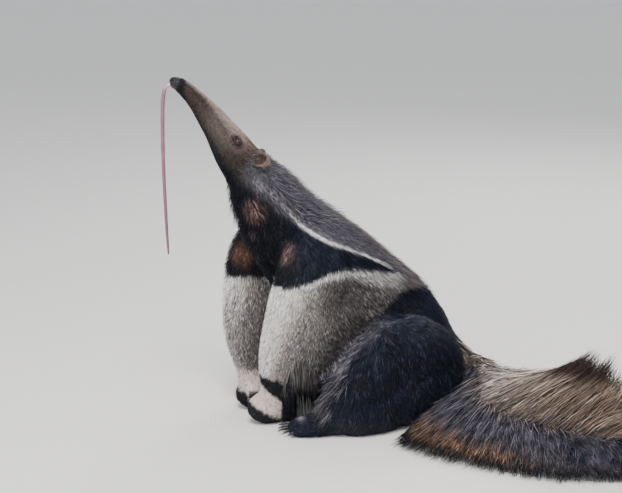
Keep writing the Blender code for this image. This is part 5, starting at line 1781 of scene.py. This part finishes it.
# %% Group: hair tone
def make_hair_tone():
    inputs = [("Marking", COLOUR, (0.2, 0.2, 0.2, 1)), ("Strand", COLOUR, None),
              ("Root Shade", NUMBER, 0.45), ("Unevenness", NUMBER, 0.5), ("Banding", NUMBER, 1.0)]
    outputs = [("Color", COLOUR, None), ("Roughness", NUMBER, None)]
    group, given, out = new_group("hair_tone", inputs, outputs)
    parts = group.nodes.new("ShaderNodeSeparateColor")
    group.links.new(given.outputs["Strand"], parts.inputs["Color"])
    along, chance, pepper = parts.outputs

    def calc(operation, *values):
        return math_node(group, operation, *values)

    spread = calc("MULTIPLY", calc("SUBTRACT", chance, 0.5), calc("MULTIPLY_ADD", pepper, 0.9, 0.35))
    uneven = calc("MULTIPLY_ADD", spread, given.outputs["Unevenness"], 1.0)
    lift = calc("SUBTRACT", 1.0, given.outputs["Root Shade"])
    shade = calc("MULTIPLY_ADD", ranged(group, along, 0.0, 0.45), given.outputs["Root Shade"], lift)
    wave = calc("SINE", calc("MULTIPLY_ADD", along, 7.0, calc("MULTIPLY", chance, 25.0)))
    band = calc("MULTIPLY", calc("MULTIPLY", wave, pepper), given.outputs["Banding"])
    tone_value = calc("MULTIPLY", calc("MULTIPLY", uneven, shade), calc("MULTIPLY_ADD", band, 0.75, 1.0))
    fleck = ranged(group, noise_node(group, 320.0, 2.0), 0.35, 0.65, 0.82, 1.15)
    tone_value = calc("MAXIMUM", calc("MULTIPLY", tone_value, fleck), 0.04)
    group.links.new(scaled_colour(group, given.outputs["Marking"], tone_value), out.inputs["Color"])
    group.links.new(ranged(group, chance, 0.0, 1.0, 0.42, 0.62), out.inputs["Roughness"])
    return group


# %% [markdown]
# ### Fine grain
# Bare skin, the short nap of the snout and the horn of a claw all carry small relief. This group gives
# a mottled value for colour and a height for bump, at a size that each material chooses.

# %% Group: fine grain
def make_fine_grain():
    inputs = [("Scale", NUMBER, 300.0), ("Amount", NUMBER, 0.3)]
    outputs = [("Value", NUMBER, None), ("Height", NUMBER, None)]
    group, given, out = new_group("fine_grain", inputs, outputs)
    coarse_scale = math_node(group, "MULTIPLY", given.outputs["Scale"], 0.13)
    fine = noise_node(group, given.outputs["Scale"], 3.0)
    coarse = noise_node(group, coarse_scale, 4.0)
    half_fine, half_coarse = (math_node(group, "MULTIPLY", noise, 0.5) for noise in (fine, coarse))
    centred = math_node(group, "SUBTRACT", math_node(group, "ADD", half_fine, half_coarse), 0.5)
    strength = math_node(group, "MULTIPLY", given.outputs["Amount"], 4.0)
    value = math_node(group, "MULTIPLY_ADD", centred, strength, 1.0)
    group.links.new(value, out.inputs["Value"])
    group.links.new(fine, out.inputs["Height"])
    return group


# %% [markdown]
# ### Skin creases
# Lids, nose and ears have leathery skin: small cells with creases between them. The distance to the
# edges of a cell pattern gives both the dark lines and the relief.

# %% Group: skin creases
def make_skin_creases():
    inputs = [("Scale", NUMBER, 500.0)]
    outputs = [("Mask", NUMBER, None), ("Height", NUMBER, None)]
    group, given, out = new_group("skin_creases", inputs, outputs)
    cells = group.nodes.new("ShaderNodeTexVoronoi")
    cells.feature = "DISTANCE_TO_EDGE"
    group.links.new(group.nodes.new("ShaderNodeTexCoord").outputs["Object"], cells.inputs["Vector"])
    group.links.new(given.outputs["Scale"], cells.inputs["Scale"])
    group.links.new(ranged(group, cells.outputs["Distance"], 0.0, 0.12, 1.0, 0.0), out.inputs["Mask"])
    group.links.new(ranged(group, cells.outputs["Distance"], 0.0, 0.30), out.inputs["Height"])
    return group


hair_tone, fine_grain, skin_creases = make_hair_tone(), make_fine_grain(), make_skin_creases()
print("node groups:", [group.name for group in bpy.data.node_groups])

# %% [markdown]
# ## Materials
# The coat's material is mostly colour and a soft sheen. The skin under it is darker than its hair, and
# bare where the finish attribute says so: there it is creased, and moist at the nose.

# %% Coat
def new_material(name, **values):
    made = bpy.data.materials.new(name)
    made.use_nodes = True
    shader = made.node_tree.nodes["Principled BSDF"]
    for label, value in values.items():
        shader.inputs[label.replace("_", " ")].default_value = value
    return made, made.node_tree, shader


def place_group(tree, group, **values):
    node = tree.nodes.new("ShaderNodeGroup")
    node.node_tree = group
    for label, value in values.items():
        connect(tree, value, node.inputs[label.replace("_", " ")])
    return node


def attribute(tree, name):
    node = tree.nodes.new("ShaderNodeAttribute")
    node.attribute_name = name
    return node.outputs["Color"]


def coat_material(name, root_shade, unevenness, banding, sheen):
    made, tree, shader = new_material(name, Sheen_Weight=sheen, Sheen_Roughness=0.35, IOR=1.45,
                                      Specular_IOR_Level=0.22)
    tone_node = place_group(tree, hair_tone, Marking=attribute(tree, "marking"),
                            Strand=attribute(tree, "strand"), Root_Shade=root_shade,
                            Unevenness=unevenness, Banding=banding)
    tree.links.new(tone_node.outputs["Color"], shader.inputs["Base Color"])
    tree.links.new(tone_node.outputs["Roughness"], shader.inputs["Roughness"])
    return made


body_hair = coat_material("body_hair", 0.38, 0.85, 1.00, 0.03)
face_hair = coat_material("face_hair", 0.25, 0.45, 0.60, 0.03)
plume_hair = coat_material("plume_hair", 0.30, 1.10, 0.90, 0.04)
for piece in coat_pieces:
    hair = plume_hair if "tail" in piece.name else face_hair if "head" in piece.name else body_hair
    piece.data.materials.append(hair)

# %% Skin
def make_skin_material():
    made, tree, shader = new_material("skin", IOR=1.45)
    finish = tree.nodes.new("ShaderNodeSeparateColor")
    tree.links.new(attribute(tree, "finish"), finish.inputs["Color"])
    bare_skin, moist, _ = finish.outputs
    nap = place_group(tree, fine_grain, Scale=420.0, Amount=0.35)
    creases = place_group(tree, skin_creases, Scale=520.0)
    furred = math_node(tree, "MULTIPLY", nap.outputs["Value"], 0.62)
    naked = math_node(tree, "MULTIPLY_ADD", creases.outputs["Mask"], -0.45, 1.0)
    colour = scaled_colour(tree, attribute(tree, "marking"), mixed_value(tree, furred, naked, bare_skin))
    tree.links.new(colour, shader.inputs["Base Color"])
    tree.links.new(ranged(tree, moist, 0.0, 1.0, 0.85, 0.30), shader.inputs["Roughness"])
    relief = mixed_value(tree, nap.outputs["Height"], creases.outputs["Height"], bare_skin)
    add_bump(tree, shader, relief, 0.5, 0.0012)
    return made


skin.data.materials.clear()
skin.data.materials.append(make_skin_material())

# %% Eye, tongue and horn
def smooth_material(name, grain_scale, grain_amount, relief, **values):
    """A marking's colour with fine grain, and as much relief as given."""
    made, tree, shader = new_material(name, **values)
    grain = place_group(tree, fine_grain, Scale=grain_scale, Amount=grain_amount)
    colour = scaled_colour(tree, attribute(tree, "marking"), grain.outputs["Value"])
    tree.links.new(colour, shader.inputs["Base Color"])
    add_bump(tree, shader, grain.outputs["Height"], relief, 0.0006)
    return made


eye_surface = smooth_material("eye", 900.0, 0.10, 0.02, Roughness=0.22, Coat_Weight=0.45, Coat_Roughness=0.08)
tongue_surface = smooth_material("tongue", 700.0, 0.22, 0.55, Roughness=0.34, Coat_Weight=0.35,
                                 Coat_Roughness=0.2)
horn_surface = smooth_material("horn", 380.0, 0.30, 0.45, Roughness=0.42)
for thing, surface in [(eye, eye_surface) for eye in eyes] + [(tongue, tongue_surface)]:
    thing.data.materials.append(surface)
for claw in claws.values():
    claw.data.materials.append(horn_surface)
print("materials:", len(bpy.data.materials))

# %% [markdown]
# ## Hand the pieces to the frame
# The skin stands for every node of flesh, and the coat rides with it.

# %% Ride and replace
FLESH_NODES = [name for name in frame["nodes"] if not name.startswith(("claw", "eye", "tongue"))]
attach(skin, "root")
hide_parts(*FLESH_NODES)
for piece in coat_pieces:
    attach(piece, "root")
    slot_name = "coat_tail" if "tail" in piece.name else "coat_snout" if "head" in piece.name else "coat_grey"
    slot_name = "coat_pale" if "fore" in piece.name else "coat_dark" if "hind" in piece.name else slot_name
print("the skin replaces", len(FLESH_NODES), "nodes")
hard_pieces = {"eye_left": eyes[0], "eye_right": eyes[1], "tongue": tongue, **claws}
for node, piece in hard_pieces.items():
    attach(piece, "root")
    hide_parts(node)
print("fine pieces for eyes, tongue and claws:", len(hard_pieces))

# %% [markdown]
# ## Floor and light
# A pale studio floor reaches past the edge of every view. One large soft light stands high on the
# camera's side, a second fills from the front, and a pale world lifts the shadows.

# %% Floor
FLOOR_HALF_SIDE = 40
FLOOR_COLOUR = (0.74, 0.725, 0.70, 1)


def make_floor():
    bm = bmesh.new()
    bmesh.ops.create_grid(bm, x_segments=1, y_segments=1, size=FLOOR_HALF_SIDE)
    mesh = bpy.data.meshes.new("floor")
    bm.to_mesh(mesh)
    bm.free()
    surface, tree, shader = new_material("floor", Roughness=0.9)
    grain = place_group(tree, fine_grain, Scale=30.0, Amount=0.02)
    base = tree.nodes.new("ShaderNodeRGB")
    base.outputs[0].default_value = FLOOR_COLOUR
    tree.links.new(scaled_colour(tree, base.outputs[0], grain.outputs["Value"]), shader.inputs["Base Color"])
    mesh.materials.append(surface)
    made = add_object("floor", mesh)


make_floor()


# %% Lights
def soft_light(name, place, target, size, power, warmth):
    lamp = bpy.data.lights.new(name, "AREA")
    lamp.shape = "DISK"
    lamp.size = size
    lamp.energy = power
    lamp.color = warmth
    made = add_object(name, lamp)
    made.location = place
    made.rotation_euler = (Vector(target) - made.location).to_track_quat("-Z", "Y").to_euler()


soft_light("key", (1.6, -1.2, 3.4), (0.1, -0.1, 0.3), 1.6, 165, (1.0, 0.97, 0.93))
soft_light("fill", (2.6, -3.2, 1.4), (0.0, -0.2, 0.4), 2.2, 60, (0.95, 0.97, 1.0))
soft_light("back", (-2.2, 2.0, 2.6), (0.1, 0.0, 0.3), 1.8, 70, (1.0, 0.98, 0.95))
world = bpy.data.worlds.new("studio")
world.use_nodes = True
sky = world.node_tree.nodes["Background"].inputs
sky["Color"].default_value = (0.86, 0.89, 0.94, 1)
sky["Strength"].default_value = 0.95
bpy.context.scene.world = world
print("lights:", len(bpy.data.lights))
